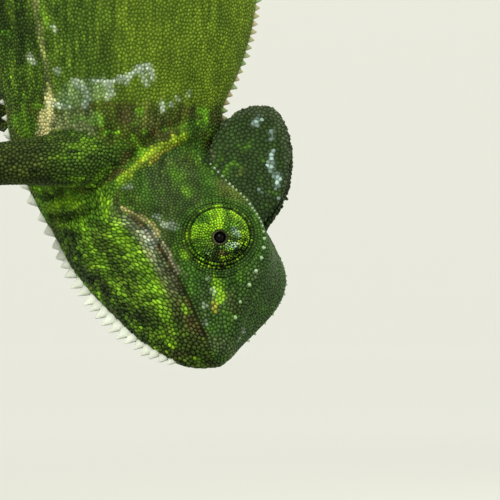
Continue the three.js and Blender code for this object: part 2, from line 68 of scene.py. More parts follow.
SNOUT = np.array([26.3, -14.3, 63.5])
HEAD_FORWARD = np.array([0.353, -0.532, -0.77])
HEAD_UP = np.array([0.901, -0.027, 0.432])
NECK_LENGTH = 15
HEAD_LENGTH = 25.5
TRUNK_LENGTH = 81
HEAD_START = TRUNK_LENGTH + NECK_LENGTH
BODY_END = HEAD_START + HEAD_LENGTH
TRUNK_TOP = 178

# Distance from the hip, place along X, half depth and half width.
TRUNK = [
    [0, 9.6, 4.9, 4.1],
    [6, 10.3, 6.8, 5.4],
    [16, 11.2, 12.4, 7.9],
    [30, 11.4, 17.9, 9.9],
    [48, 11.2, 20.2, 10.8],
    [67, 11.6, 19.3, 10.4],
    [74, 12.0, 17.4, 9.8],
    [81, 11.9, 14.6, 9.2],
]
# Distance behind the muzzle's tip; the ridge's height and half width; the crown's height; half widths at the
# face, the mouth and the throat; and the jaw's depth.
HEAD = [
    [0.25, 1.1, 0.5, 1.3, 1.0, 1.1, 0.8, -1.9],
    [1.0, 2.1, 1.2, 2.4, 2.1, 2.3, 1.8, -3.5],
    [2.3, 3.5, 2.0, 3.8, 3.1, 3.6, 2.8, -5.1],
    [4.1, 5.6, 3.6, 5.9, 4.3, 4.8, 3.9, -6.5],
    [5.8, 8.1, 4.5, 8.7, 5.0, 5.6, 4.6, -7.6],
    [7.8, 10.4, 5.0, 10.7, 5.3, 6.3, 5.3, -8.7],
    [10.8, 12.1, 5.1, 11.9, 5.6, 7.1, 6.1, -9.9],
    [14.6, 12.5, 4.6, 11.7, 6.1, 8.0, 6.8, -11.2],
    [18.2, 12.1, 3.9, 11.4, 6.8, 8.4, 7.2, -12.3],
    [22.2, 10.6, 3.7, 10.6, 7.4, 8.8, 7.5, -13.2],
    [25.5, 9.3, 3.5, 10.0, 7.9, 9.0, 7.6, -13.6],
]
RIDGE_LIP = 0.45
SNOUT_RUN = 3  # the last stretch of the muzzle, which has closer rings
LANDMARK_STEPS = [8, 12, 8, 8, 12]
SIDES = 2 * sum(LANDMARK_STEPS)

# The mouth's line and the eyes, forward, up and right of the muzzle's tip.
MOUTH = [[1.5, -0.9], [-2, -0.45], [-7.6, -0.35], [-15.5, -1.0], [-18.2, -1.4], [-20.8, -2.4], [-22.4, -3.8]]

EYE_CENTRE = [-13.9, 6.4, 4.5]
EYE_GAZE = [0.442, 0.09, 0.892]
EYE_RADIUS = 4.95
EYE_BACK = -1.5
EYE_PIT = 0.88
EYE_PIT_DEPTH = 2.0
EYE_BALL = 0.85

LIPS_END = 23.5  # how far behind the muzzle's tip the lips reach
HEAD_REAR = 27  # how far behind it the head's scales give way to the neck's

# A neck flap's root and rim, from the front to the rear.
FLAP_ROOT = [[-15.2, 11.5, 0.6], [-17, 11.9, 1.8], [-19.5, 11.5, 3.2], [-23, 10.3, 3.8], [-26.8, 9.0, 3.9]]
FLAP_RIM = [
    [-16, 12.5, 0.65], [-17.1, 14.6, 0.65], [-19.3, 17.1, 0.65], [-22.5, 19, 0.65], [-25.9, 20.3, 0.65],
    [-29.2, 20.9, 0.7], [-31.6, 20.4, 1], [-32.5, 18.7, 2], [-32.2, 16.5, 3.4], [-30.9, 14.1, 4.7],
    [-29.4, 12.1, 5.2], [-27.8, 10.3, 4.6],
]
FLAP_FOOT = 1.5
FLAP_WEB = 0.95
FLAP_HEM = 1.0
FLAP_CUP = 0.4
FLAP_SUNK = 2.4

PERCH = {"x": -26, "radius": 4.8, "bottom": 40, "top": 234, "sway": 1.1, "sway_length": 46}
KNOTS = [62, 121, 187]

ARM = {"thick": [3.8, 3.1, 2.7, 2.6, 1.8], "inner": 3}
LEG = {"thick": [5.6, 4.4, 3.0, 2.9, 1.9], "inner": 2}
LIMBS = {
    "right_arm": {**ARM, "side": -1, "root": [12, -5, 90.4], "bend": [-8, -13.5, 88.2],
                  "end": [-19.8, -8.6, 82.5], "grip": 79},
    "left_arm": {**ARM, "side": 1, "root": [12, 4.8, 93.5], "bend": [-7, 14, 98],
                 "end": [-19.8, 8.6, 104], "grip": 107.5},
    "right_leg": {**LEG, "side": -1, "root": [9.5, -3.6, 162], "bend": [-7, -14, 151],
                  "end": [-19.6, -8.8, 159.5], "grip": 163.5},
    "left_leg": {**LEG, "side": 1, "root": [9.5, 3.6, 162], "bend": [-8, 14, 147],
                 "end": [-19.6, 8.8, 139], "grip": 135.5},
}
TOE = {"radius": 1.95, "tip": 1.35, "reach": 1.45, "spread": 1.2, "claw": 2.1}

TAIL_RADII = [[0, 4.6], [0.08, 4.1], [0.3, 3.1], [0.6, 2.1], [0.85, 1.2], [1, 0.65]]
TAIL_LEAD = [[9.6, 0, 178.3], [8.8, -0.6, 186], [3.6, -3, 196], [-6.5, -6, 203.5], [-17, -7.6, 207.5]]
TAIL_START = 209
TAIL_RISE = 8
TAIL_TURNS = 2.1


# Small tools


def unit(v):
    return v / np.maximum(np.linalg.norm(v, axis=-1, keepdims=True), 1e-9)


def full_turn(count):
    """Evenly spaced angles once round."""
    return np.arange(count) / count * 2 * math.pi


def tube_faces(levels, sides, closed_ends=True):
    """Faces between rings of points, closed round, with the two end rings as faces too where asked."""
    grid = np.arange(levels * sides).reshape(levels, sides)
    here, above = grid[:-1], grid[1:]
    right, above_right = np.roll(here, -1, axis=1), np.roll(above, -1, axis=1)
    faces = np.stack([here, right, above_right, above], axis=-1).reshape(-1, 4).tolist()
    if closed_ends:
        faces += [grid[0][::-1].tolist(), grid[-1].tolist()]
    return faces


HEAD_FORWARD = unit(HEAD_FORWARD)
HEAD_UP = unit(HEAD_UP - HEAD_FORWARD * HEAD_UP.dot(HEAD_FORWARD))
HEAD_RIGHT = np.cross(HEAD_FORWARD, HEAD_UP)
HEAD_AXES = np.array([HEAD_FORWARD, HEAD_UP, HEAD_RIGHT])


def in_head(places):
    """Points given as forward, up and right of the muzzle's tip."""
    return SNOUT + np.asarray(places, float) @ HEAD_AXES


def to_head(points):
    return (points - SNOUT) @ HEAD_AXES.T


def along(table, at):
    """Smooth interpolation in a table whose first column rises: a row of values for each place."""
    rows = np.asarray(table, float)
    x = np.clip(np.atleast_1d(at), rows[0, 0], rows[-1, 0])
    k = np.clip(np.searchsorted(rows[:, 0], x, side="left") - 1, 0, len(rows) - 2)
    before, start, end, after = (rows[np.clip(k + step, 0, len(rows) - 1)] for step in (-1, 0, 1, 2))
    span = end[:, :1] - start[:, :1]
    t = (x[:, None] - start[:, :1]) / span
    into = (end - before) / (end[:, :1] - before[:, :1]) * span
    out_of = (after - start) / (after[:, :1] - start[:, :1]) * span
    rise = end - start
    return (start + t * (into + t * (3 * rise - 2 * into - out_of + t * (into + out_of - 2 * rise))))[:, 1:]


def spline(points, t, closed=False):
    """A centripetal Catmull-Rom curve through the points, at parameters from 0 to 1."""
    p = np.asarray(points, float)
    spans = len(p) if closed else len(p) - 1
    at = np.asarray(t, float) * spans
    k = np.minimum(at.astype(int), spans - 1)
    w = (at - k)[:, None]
    if closed:
        p0, p1, p2, p3 = (p[(k + i) % len(p)] for i in (-1, 0, 1, 2))
    else:
        longer = np.vstack([2 * p[0] - p[1], p, 2 * p[-1] - p[-2]])
        p0, p1, p2, p3 = (longer[k + i] for i in range(4))
    d0, d1, d2 = (np.sqrt(np.linalg.norm(b - a, axis=1))[:, None] for a, b in ((p0, p1), (p1, p2), (p2, p3)))
    t1 = ((p1 - p0) / d0 - (p2 - p0) / (d0 + d1) + (p2 - p1) / d1) * d1
    t2 = ((p2 - p1) / d1 - (p3 - p1) / (d1 + d2) + (p3 - p2) / d2) * d1
    return p1 + w * (t1 + w * (3 * (p2 - p1) - 2 * t1 - t2 + w * (t1 + t2 - 2 * (p2 - p1))))


class Path:
    """A spline measured by its length: shares run from 0 to 1."""

    def __init__(self, points):
        self.points = points
        self.t = np.linspace(0, 1, 801)
        steps = np.linalg.norm(np.diff(spline(points, self.t), axis=0), axis=1)
        self.run = np.concatenate([[0], np.cumsum(steps)])
        self.length = self.run[-1]

    def at(self, shares):
        t = np.interp(np.clip(shares, 0, 1) * self.length, self.run, self.t)
        return spline(self.points, t)

    def forward(self, shares):
        step = 0.002
        return unit(self.at(np.minimum(shares + step, 1)) - self.at(np.maximum(shares - step, 0)))


class Form:
    """Closed parts of the flesh; each point keeps its part's name, unwrapped place and mirror twin."""

    def __init__(self):
        self.points, self.faces, self.part, self.place, self.twin, self.lie = [], [], [], [], [], []
        self.count = 0
        self.names = []

    def add(self, name, rings, place, twins=None):
        """Rings of equally many points, closed round and capped at both ends."""
        rings = np.asarray(rings)
        levels, sides, _ = rings.shape
        first = self.count
        points = rings.reshape(-1, 3)
        self.faces += [[first + k for k in face] for face in tube_faces(levels, sides)]
        if name not in self.names:
            self.names.append(name)
        self.points.append(points)
        self.part.append(np.full(len(points), self.names.index(name)))
        self.place.append(np.asarray(place, float).reshape(-1, 2))
        self.twin.append(points if twins is None else np.asarray(twins).reshape(-1, 3))
        self.lie.append(unit(np.gradient(rings, axis=0)).reshape(-1, 3))
        self.count += len(points)


# The trunk, neck and head as rings round a reference line


def trunk_section(distance):
    _, depth, width = along(TRUNK, distance)[0]
    angle = full_turn(SIDES)
    up = np.cos(angle)
    keel = 1 - 0.3 * np.maximum(up, 0) ** 3 - 0.12 * np.maximum(-up, 0) ** 4
    return np.stack([depth * up, width * np.sin(angle) * keel * (1 - 0.1 * up)], axis=1)


def head_section(behind):
    ridge_up, ridge, crown, face, mouth, throat, depth = along(HEAD, behind)[0]
    half = [
        [crown, 0], [ridge_up, ridge + RIDGE_LIP * min(ridge / 4, 1)], [ridge_up * 0.5, face],
        [-0.3, mouth], [depth * 0.55, throat * 0.93], [depth, 0],
    ]
    loop = half + [[up, -side] for up, side in half[-2:0:-1]]
    steps = LANDMARK_STEPS + LANDMARK_STEPS[::-1]
    t = [(k + i / count) / len(loop) for k, count in enumerate(steps) for i in range(count)]
    return spline(loop, t, closed=True)


TRUNK_TURN = Matrix(((0, 1, 0), (0, 0, -1), (-1, 0, 0))).to_quaternion()
HEAD_TURN = Matrix(HEAD_AXES.T.tolist()).to_quaternion()


def axis_point(distance):
    if distance <= TRUNK_LENGTH:
        return np.array([along(TRUNK, distance)[0][0], 0, TRUNK_TOP - distance])
    if distance >= HEAD_START:
        return in_head([distance - BODY_END, 0, 0])
    start, end = axis_point(TRUNK_LENGTH), axis_point(HEAD_START)
    pull = NECK_LENGTH * 0.4
    handles = [start, start - [0, 0, pull], end - HEAD_FORWARD * pull, end]
    t = (distance - TRUNK_LENGTH) / NECK_LENGTH
    return sum(math.comb(3, k) * (1 - t) ** (3 - k) * t**k * p for k, p in enumerate(handles))


def body_ring(distance, grow=0.0):
    share = min(max((distance - TRUNK_LENGTH) / NECK_LENGTH, 0), 1)
    ease = share * share * (3 - 2 * share)
    turn = TRUNK_TURN.slerp(HEAD_TURN, ease).to_matrix()
    trunk = trunk_section(min(distance, TRUNK_LENGTH))
    head = head_section(HEAD_LENGTH - max(distance - HEAD_START, 0))
    mixed = trunk + (head - trunk) * ease
    mixed += unit(mixed) * grow
    local = np.column_stack([np.zeros(SIDES), mixed])
    return local @ np.array(turn).T + axis_point(distance)


def add_body(form, grow):
    snout_run = np.linspace(0, 1, 14) ** 1.6 * SNOUT_RUN
    distances = np.concatenate([
        np.arange(0.3, HEAD_START, 0.75),
        np.arange(HEAD_START, BODY_END - SNOUT_RUN, 0.5),
        BODY_END + grow - snout_run[::-1],
    ])
    rings = np.array([body_ring(d, grow) for d in distances])
    angle = np.arange(SIDES) / SIDES
    place = np.stack(np.meshgrid(distances, angle, indexing="ij"), axis=-1)
    mirrored = rings[:, (-np.arange(SIDES)) % SIDES]
    left = (angle > 0.5)[None, :, None]
    form.add("body", rings, place, np.where(left, mirrored, rings))


# Eyes


# The rings of folds on a turret: they lie round a middle that is off the eye's, and are a little flat.
DISC = {"tilt": 0.441, "lift": 0.62, "flat": 0.075, "inner": 1.3, "outer": 4.0}
SOCKET_GROOVE = 4.5
LOWER_GROOVES = (4.95, 3.4, 2.8)  # these run round the lower half only
# Rings of scales round each eye, and bare rings between them; top is how far up the lower ones reach.
FINE_RINGS = {"first": 1.24, "last": 3.86, "step": 0.33, "pitch": 0.35}
COARSE_RINGS = {"sizes": (4.22, 4.72, 5.15, 5.5, 5.9), "pitch": 0.42}
BARE_RINGS = {"whole": (DISC["outer"], SOCKET_GROOVE), "lower": (3.42, 4.95), "pitch": 0.25, "top": -0.4}
# The eyelid's two rows of beads: distance from the eye's middle, how many, and their size.
LID_ROWS = [(0.85, 28, 0.07), (0.98, 32, 0.085)]
# The lips' rows of beads: place over the mouth's line, spacing, and whether a bead is made.
LIP_ROWS = [(0.36, 0.5, True), (0, 0.22, False), (-0.36, 0.54, True)]
LIP_BEAD = (0.52, 0.42)


def disc_share(size):
    return np.clip((size - DISC["inner"]) / (DISC["outer"] - DISC["inner"]), 0, 1)


def disc_place(size, turn):
    """Places on a turret's ring of folds: how far towards the crown, and towards the rear."""
    share = disc_share(size)
    level = size * np.cos(turn)
    high = size * np.sin(turn) * (1 - DISC["flat"] * share) + DISC["lift"] * share
    cos, sin = math.cos(DISC["tilt"]), math.sin(DISC["tilt"])
    return level * cos + high * sin, high * cos - level * sin


def disc_size(crown, rear):
    """The size of the ring of folds that each place on a turret belongs to."""
    cos, sin = math.cos(DISC["tilt"]), math.sin(DISC["tilt"])
    level, high = crown * cos - rear * sin, rear * cos + crown * sin
    size = np.hypot(level, high)
    for _ in range(8):
        share = disc_share(size)
        size = np.hypot(level, (high - DISC["lift"] * share) / (1 - DISC["flat"] * share))
    return size


def eye_frame(side):
    """The turret's centre, its gaze, and two directions across it: towards the crown and towards the rear."""
    forward, up, right = EYE_CENTRE
    centre = in_head([forward, up, right * side])
    forward, up, right = EYE_GAZE
    gaze = unit(np.array([forward, up, right * side]) @ HEAD_AXES)
    crown = unit(HEAD_UP - gaze * gaze.dot(HEAD_UP))
    rear = np.cross(gaze, crown) * side
    return centre, gaze, crown, rear


def add_turret(form, side, grow):
    centre, gaze, crown, rear = eye_frame(side)
    radius = EYE_RADIUS + grow
    rim = math.acos(EYE_PIT / radius)
    angles = np.linspace(math.asin(EYE_BACK / radius), rim, 24)
    across = np.concatenate([[0.2], radius * np.cos(angles), [EYE_PIT, 0.1]])
    out = np.concatenate([[EYE_BACK], radius * np.sin(angles), [radius - EYE_PIT_DEPTH] * 2])
    turn = full_turn(64)
    place = np.stack(np.meshgrid(across, turn, indexing="ij"), axis=-1)

    def dome(middle, ahead, up, back):
        spoke = np.cos(turn)[:, None] * up + np.sin(turn)[:, None] * back * side
        return middle + out[:, None, None] * ahead + across[:, None, None] * spoke

    form.add("turret", dome(centre, gaze, crown, rear), place, dome(*eye_frame(1)))


# Neck flaps


def flap_frame(u):
    root = spline(FLAP_ROOT, u)
    rise = spline(FLAP_RIM, u) - root
    ahead = spline(FLAP_ROOT, np.minimum(u + 0.002, 1)) - spline(FLAP_ROOT, np.maximum(u - 0.002, 0))
    return root, rise, unit(np.cross(rise, ahead))


def flap_points(u, v, face, side, grow):
    root, rise, normal = flap_frame(u)
    if v < 0:
        at = root + unit(rise) * v * FLAP_SUNK
    else:
        at = root + rise * v
    thickness = FLAP_FOOT + (FLAP_WEB - FLAP_FOOT) * min(2 * max(v, 0), 1)
    hem = np.clip((v - 0.8) / 0.08, 0, 1)
    thickness += (FLAP_HEM - thickness) * hem * hem * (3 - 2 * hem)
    bow = FLAP_CUP * math.sin(math.pi * min(max(v, 0), 1)) * np.sin(math.pi * u)
    at = at + normal * (face * (thickness / 2 + grow) - bow)[:, None]
    return in_head(at * [1, 1, side])


def add_flap(form, side, grow):
    u = np.linspace(0, 1, 56)
    levels = np.concatenate([[-1, -0.5], np.linspace(0, 1 - 0.02, 22)])
    around = [(v, 1) for v in levels] + [(levels[-1] + 0.02, 0)] + [(v, -1) for v in levels[::-1]]
    if side < 0:
        around = around[::-1]

    def rings(sided):
        return np.array([flap_points(u, v, face, sided, grow) for v, face in around]).transpose(1, 0, 2)

    place = [[[a, v * (face or 1)] for v, face in around] for a in u]
    form.add("flap", rings(side), place, rings(1))


# Limbs and tail


def perch_centre(z):
    phase = np.asarray(z, float) / PERCH["sway_length"]
    x = PERCH["x"] + PERCH["sway"] * np.sin(phase * 2)
    return np.stack([x, PERCH["sway"] * np.cos(phase * 2), np.asarray(z, float)], axis=-1)


def grip_point(angle, z, lift):
    radius = PERCH["radius"] + lift
    spoke = np.stack([np.cos(angle), np.sin(angle), np.zeros_like(angle)], axis=-1)
    return perch_centre(z) + np.asarray(radius)[..., None] * spoke


def add_tube(form, name, path, shares, radii, up, grow, sides=28, across=1.0):
    """A tapered tube with rounded ends along a path."""
    forward = path.forward(shares)
    centres = path.at(shares)
    turn = full_turn(sides)
    rings = []
    up = np.asarray(up, float)
    for ahead, centre, radius in zip(forward, centres, np.maximum(radii + grow, 0.05)):
        up = unit(up - ahead * up.dot(ahead))
        right = np.cross(ahead, up)
        spoke = np.cos(turn)[:, None] * up + np.sin(turn)[:, None] * right * across
        rings.append(centre + radius * spoke)
    run = shares * path.length
    place = np.stack(np.meshgrid(run, turn / (2 * math.pi), indexing="ij"), axis=-1)
    form.add(name, rings, place)


def rounded(shares, radii, length, end_radius):
    """Radii that close the last stretch of a tube to a round end."""
    left = (1 - shares) * length
    inside = np.clip(1 - left / end_radius, 0, 1)
    return radii * np.sqrt(np.maximum(1 - inside**2, 0.02))


def toe_path(angle, turn, z, offset):
    share = np.linspace(0, 1, 6)
    lift = TOE["radius"] + 0.15 - (TOE["radius"] - TOE["tip"]) * share
    spread = offset * (0.75 + 0.35 * share)
    points = grip_point(angle + turn * TOE["reach"] * share, z + turn * 0.5 + spread, lift)
    return Path(points)


def toe_paths(spec, angle):
    for turn, toes in ((1, spec["inner"]), (-1, 5 - spec["inner"])):
        for k in range(toes):
            yield toe_path(angle, turn, spec["grip"], (k - (toes - 1) / 2) * TOE["spread"])


def limb_angle(spec):
    centre = perch_centre(spec["grip"])
    return math.atan2(spec["end"][1] - centre[1], spec["end"][0] - centre[0])


def add_limb(form, name, spec, grow):
    root, bend, end = (np.array(spec[k], float) for k in ("root", "bend", "end"))
    angle = limb_angle(spec)
    palm = grip_point(np.array(angle), spec["grip"], TOE["radius"] + 0.2)
    path = Path([root, bend, end, palm])
    joint = np.linalg.norm(bend - root) / path.length
    wrist = joint + np.linalg.norm(end - bend) / path.length
    t0, t1, t2, t3, t4 = spec["thick"]
    table = [
        [0, t0 * 0.45], [joint * 0.1, t0 * 0.85], [joint * 0.25, t0], [joint * 0.6, t1], [joint, t2],
        [(joint + wrist) / 2, t3], [wrist, t4], [1, t4 + 0.35],
    ]
    shares = np.linspace(0, 1, 60)
    add_tube(form, name, path, shares, along(table, shares)[:, 0], [0, spec["side"], 0.2], grow)
    for toe in toe_paths(spec, angle):
        shares = np.linspace(0, 1, 26)
        radii = TOE["radius"] * (0.68 - 0.1 * shares)
        radii = rounded(shares, radii, toe.length, 1.0)
        add_tube(form, name, toe, shares, radii, [0, 0, 1], grow * 0.5, sides=16)


def tail_path():
    points = [[9.4, 0, 173.5]] + TAIL_LEAD
    stops = round(TAIL_TURNS * 10)
    for k in range(stops + 1):
        turned = k / stops * TAIL_TURNS
        lift = along(TAIL_RADII, 0.33 + 0.65 * k / stops)[0][0] + 0.45
        angle = np.array(-math.pi / 2 - turned * 2 * math.pi)
        points.append(grip_point(angle, TAIL_START + TAIL_RISE * turned, lift))
    return Path(points)


def add_tail(form, grow):
    path = tail_path()
    shares = np.linspace(0, 1, 330)
    radii = rounded(shares, along(TAIL_RADII, shares)[:, 0], path.length, 0.7)
    add_tube(form, "tail", path, shares, radii, [1, 0, 0], grow, across=0.9)


def flesh(grow):
    form = Form()
    add_body(form, grow)
    for side in (1, -1):
        add_turret(form, side, grow)
        add_flap(form, side, grow)
    for name, spec in LIMBS.items():
        add_limb(form, name, spec, grow)
    add_tail(form, grow)
    return form


# Meshes


def make_object(name, points, faces, material, smooth=True):
    mesh = bpy.data.meshes.new(name)
    mesh.from_pydata((np.asarray(points) * MM).tolist(), [], faces)
    mesh.polygons.foreach_set("use_smooth", [smooth] * len(mesh.polygons))
    mesh.materials.append(material)
    mesh.update()
    obj = bpy.data.objects.new(name, mesh)
    bpy.context.scene.collection.objects.link(obj)
    return obj


def add_tint(mesh, colours):
    tint = mesh.color_attributes.new("Tint", "FLOAT_COLOR", "POINT")
    solid = np.column_stack([colours, np.ones(len(colours))])
    tint.data.foreach_set("color", solid.astype(np.float32).ravel())


def settle(piece, slot, *nodes):
    """Every piece rides on the one body; it names the CAD nodes that it stands for, which are hidden. Its slot
    is not used.
    """
    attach(piece, "root")
    if nodes:
        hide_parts(*nodes)


def remeshed(form, voxel):
    """The union of the form's parts as one even mesh: points and quads."""
    source = make_object("form", np.vstack(form.points), form.faces, bpy.data.materials.new("plain"))
    modifier = source.modifiers.new("union", "REMESH")
    modifier.mode = "VOXEL"
    modifier.voxel_size = voxel * MM
    evaluated = source.evaluated_get(bpy.context.evaluated_depsgraph_get())
    mesh = evaluated.to_mesh()
    points = np.empty(len(mesh.vertices) * 3, np.float32)
    mesh.vertices.foreach_get("co", points)
    quads = np.empty(len(mesh.loops), np.int32)
    mesh.loops.foreach_get("vertex_index", quads)
    sizes = np.empty(len(mesh.polygons), np.int32)
    mesh.polygons.foreach_get("loop_total", sizes)
    evaluated.to_mesh_clear()
    bpy.data.objects.remove(source)
    if set(sizes) != {4}:
        raise ValueError("the union is not all quads")
    return points.reshape(-1, 3).astype(float) / MM, quads.reshape(-1, 4)


class Surface:
    """A quad mesh as arrays, with its neighbours and normals."""

    def __init__(self, points, quads):
        self.points, self.quads = points, quads
        edges = np.vstack([quads[:, [0, 1]], quads[:, [1, 2]], quads[:, [2, 3]], quads[:, [3, 0]]])
        self.start, self.end = edges[:, 0], edges[:, 1]
        self.degree = np.bincount(self.start, minlength=len(points))

    def average(self, values):
        """Each point's mean over its neighbours, for values of any width."""
        columns = values.reshape(len(values), -1)
        sums = [np.bincount(self.start, columns[self.end, k], len(values)) for k in range(columns.shape[1])]
        return (np.stack(sums, axis=1) / self.degree[:, None]).reshape(values.shape)

    def smooth(self, rounds, share=None):
        for _ in range(rounds):
            move = self.average(self.points) - self.points
            self.points = self.points + move * (0.5 if share is None else 0.5 * share[:, None])

    def flow(self, lie, seed, rounds):
        """Noise drawn out along the lie, with a mean of 0 and a spread of 1."""
        step = unit(self.points[self.end] - self.points[self.start])
        share = (step * lie[self.start]).sum(axis=1) ** 6
        total = 0.6 + np.bincount(self.start, share, len(lie))
        values = np.random.default_rng(seed).standard_normal(len(lie))
        for _ in range(rounds):
            values = (0.6 * values + np.bincount(self.start, share * values[self.end], len(lie))) / total
        return (values - values.mean()) / values.std()

    def normals(self):
        a, b, c, d = (self.points[self.quads[:, k]] for k in range(4))
        flat = np.cross(c - a, d - b)
        total = np.zeros_like(self.points)
        for k in range(4):
            for axis in range(3):
                total[:, axis] += np.bincount(self.quads[:, k], flat[:, axis], len(total))
        return unit(total)


def point_tree(points):
    tree = kdtree.KDTree(len(points))
    for i, p in enumerate(points.tolist()):
        tree.insert(p, i)
    tree.balance()
    return tree


def nearest(tree_points, points, count):
    """Indices and distances of the closest tree points."""
    tree = point_tree(tree_points)
    found = [tree.find_n(p, count) for p in points.tolist()]
    index = np.array([[hit[1] for hit in row] for row in found])
    distance = np.array([[hit[2] for hit in row] for row in found])
    return index, distance


def nearest_shares(tree_points, points, soft):
    """Indices of the three closest tree points, and the share that each has in a mean."""
    index, gap = nearest(tree_points, points, 3)
    weight = 1 / (gap + soft)
    return index, weight / weight.sum(axis=1, keepdims=True)


# Noise


def lattice(cells, seed):
    """A repeatable number from 0 to 1 for each whole-number cell."""
    n = (cells.astype(np.int64) * [73856093, 19349663, 83492791]).sum(axis=-1) + seed * 15485863
    n = ((n ^ (n >> 13)) * 1274126177) & 0xFFFFFFFF
    n = ((n ^ (n >> 16)) * 668265263) & 0xFFFFFFFF
    return (n ^ (n >> 15)) / 2.0**32


def noise(points, size, seed):
    """Smooth noise from -1 to 1 with features about size across."""
    at = points / size
    cell = np.floor(at)
    t = at - cell
    t = t * t * (3 - 2 * t)
    total = np.zeros(len(points))
    for corner in np.ndindex(2, 2, 2):
        share = np.prod(np.where(corner, t, 1 - t), axis=1)
        total += share * lattice(cell + corner, seed)
    return total * 2 - 1


def rough(points, size, seed):
    return (noise(points, size, seed) + 0.5 * noise(points, size / 2.1, seed + 1)) / 1.2


def bump(x, width):
    return np.exp(-((x / width) ** 2))


def rise(x, low, high):
    t = np.clip((x - low) / (high - low), 0, 1)
    return t * t * (3 - 2 * t)


def within(x, low, high, soft):
    return rise(x, low - soft, low + soft) * (1 - rise(x, high - soft, high + soft))


def path_gap(points, path):
    """Distance from each point to a line of points."""
    path = np.asarray(path, float)
    best = np.full(len(points), np.inf)
    for a, b in zip(path[:-1], path[1:]):
        step = b - a
        t = np.clip(((points - a) @ step) / step.dot(step), 0, 1)
        best = np.minimum(best, np.linalg.norm(points - a - t[:, None] * step, axis=1))
    return best


# Where a point is on the animal


def jaw_share(points, mouth_gap):
    """How far each point is from the mouth's line towards the keel under the jaw, from 0 to 1."""
    return mouth_gap / (mouth_gap + path_gap(points, KEEL_PATH) + 1e-6)


class Places:
    """Facts about points on the skin, on the right side or mirrored to it."""

    def __init__(self, names, part, place, twin, lie, left, flow=None):
        self.names, self.part, self.place = names, part, place
        self.twin, self.lie, self.left = twin, lie, left
        self.flow = np.zeros(len(part)) if flow is None else flow
        self.head = to_head(twin)
        self.side = twin[:, [0, 2]]
        self.body = self.named("body")
        back, up = -self.head[:, 0], self.head[:, 1]
        self.behind = back
        in_front = np.clip(self.head[:, 0], MOUTH[-1][0], MOUTH[0][0])
        line = np.array(MOUTH[::-1])
        self.over_mouth = up - np.interp(in_front, line[:, 0], line[:, 1])
        self.mouth_gap = path_gap(twin, MOUTH_PATH)
        self.jaw_share = jaw_share(twin, self.mouth_gap)
        self.lower = self.body * (self.over_mouth < 0) * (1 - rise(back, 25.5, 29))
        centre, gaze, crown, rear = eye_frame(1)
        local = twin - centre
        self.eye_out = local @ gaze
        self.eye_crown, self.eye_rear = local @ crown, local @ rear
        self.eye_radius = np.hypot(self.eye_crown, self.eye_rear)
        self.disc = disc_size(self.eye_crown, self.eye_rear)

    def named(self, *names):
        return np.isin(self.part, [k for k, name in enumerate(self.names) if name in names])

    def take(self, index, weight):
        """The same facts at points between the given ones."""

        def mixed(values):
            return (values[index] * weight[..., None]).sum(axis=1)

        first = index[:, 0]
        return Places(
            self.names, self.part[first], self.place[first], mixed(self.twin), unit(mixed(self.lie)),
            self.left[first], mixed(self.flow[:, None])[:, 0],
        )


def mouth_path():
    line = np.array(MOUTH)
    half = along(HEAD, -line[:, 0])[:, 4]
    return in_head(np.column_stack([line, half]))


def keel_path():
    behind = np.linspace(0.3, HEAD_LENGTH, 24)
    depth = along(HEAD, behind)[:, 6]
    head = in_head(np.column_stack([-behind, depth, np.zeros(24)]))
    neck = [body_ring(d)[SIDES // 2] for d in np.arange(HEAD_START - 1, 60, -3)]
    return np.vstack([head, neck])


MOUTH_PATH = mouth_path()
KEEL_PATH = keel_path()


def form_places(form, points):
    whole = np.vstack(form.points)
    index, weight = nearest_shares(whole, points, 0.05)
    part = np.concatenate(form.part)[index[:, 0]]
    place = np.vstack(form.place)[index[:, 0]]
    twins = np.vstack(form.twin)
    left = (np.linalg.norm(twins - whole, axis=1) > 1e-6)[index[:, 0]]
    twin = np.where(left[:, None], (twins[index] * weight[..., None]).sum(axis=1), points)
    lie = np.vstack(form.lie)[index[:, 0]]
    return Places(form.names, part, place, twin, lie, left)


# Folds of the skin

NAPE_FOLD = [[21.5, 93.4], [18.7, 92.2], [17.0, 90.4], [14.5, 88.3], [10.5, 85.9], [8.0, 84.5]]
THROAT_FOLDS = [
    [[1.2, 86.4], [3.4, 85.0], [6.5, 84.6], [10, 85.2]],
    [[3.4, 82.6], [5.6, 82.2], [8.0, 82.6], [9.6, 83.6]],
]


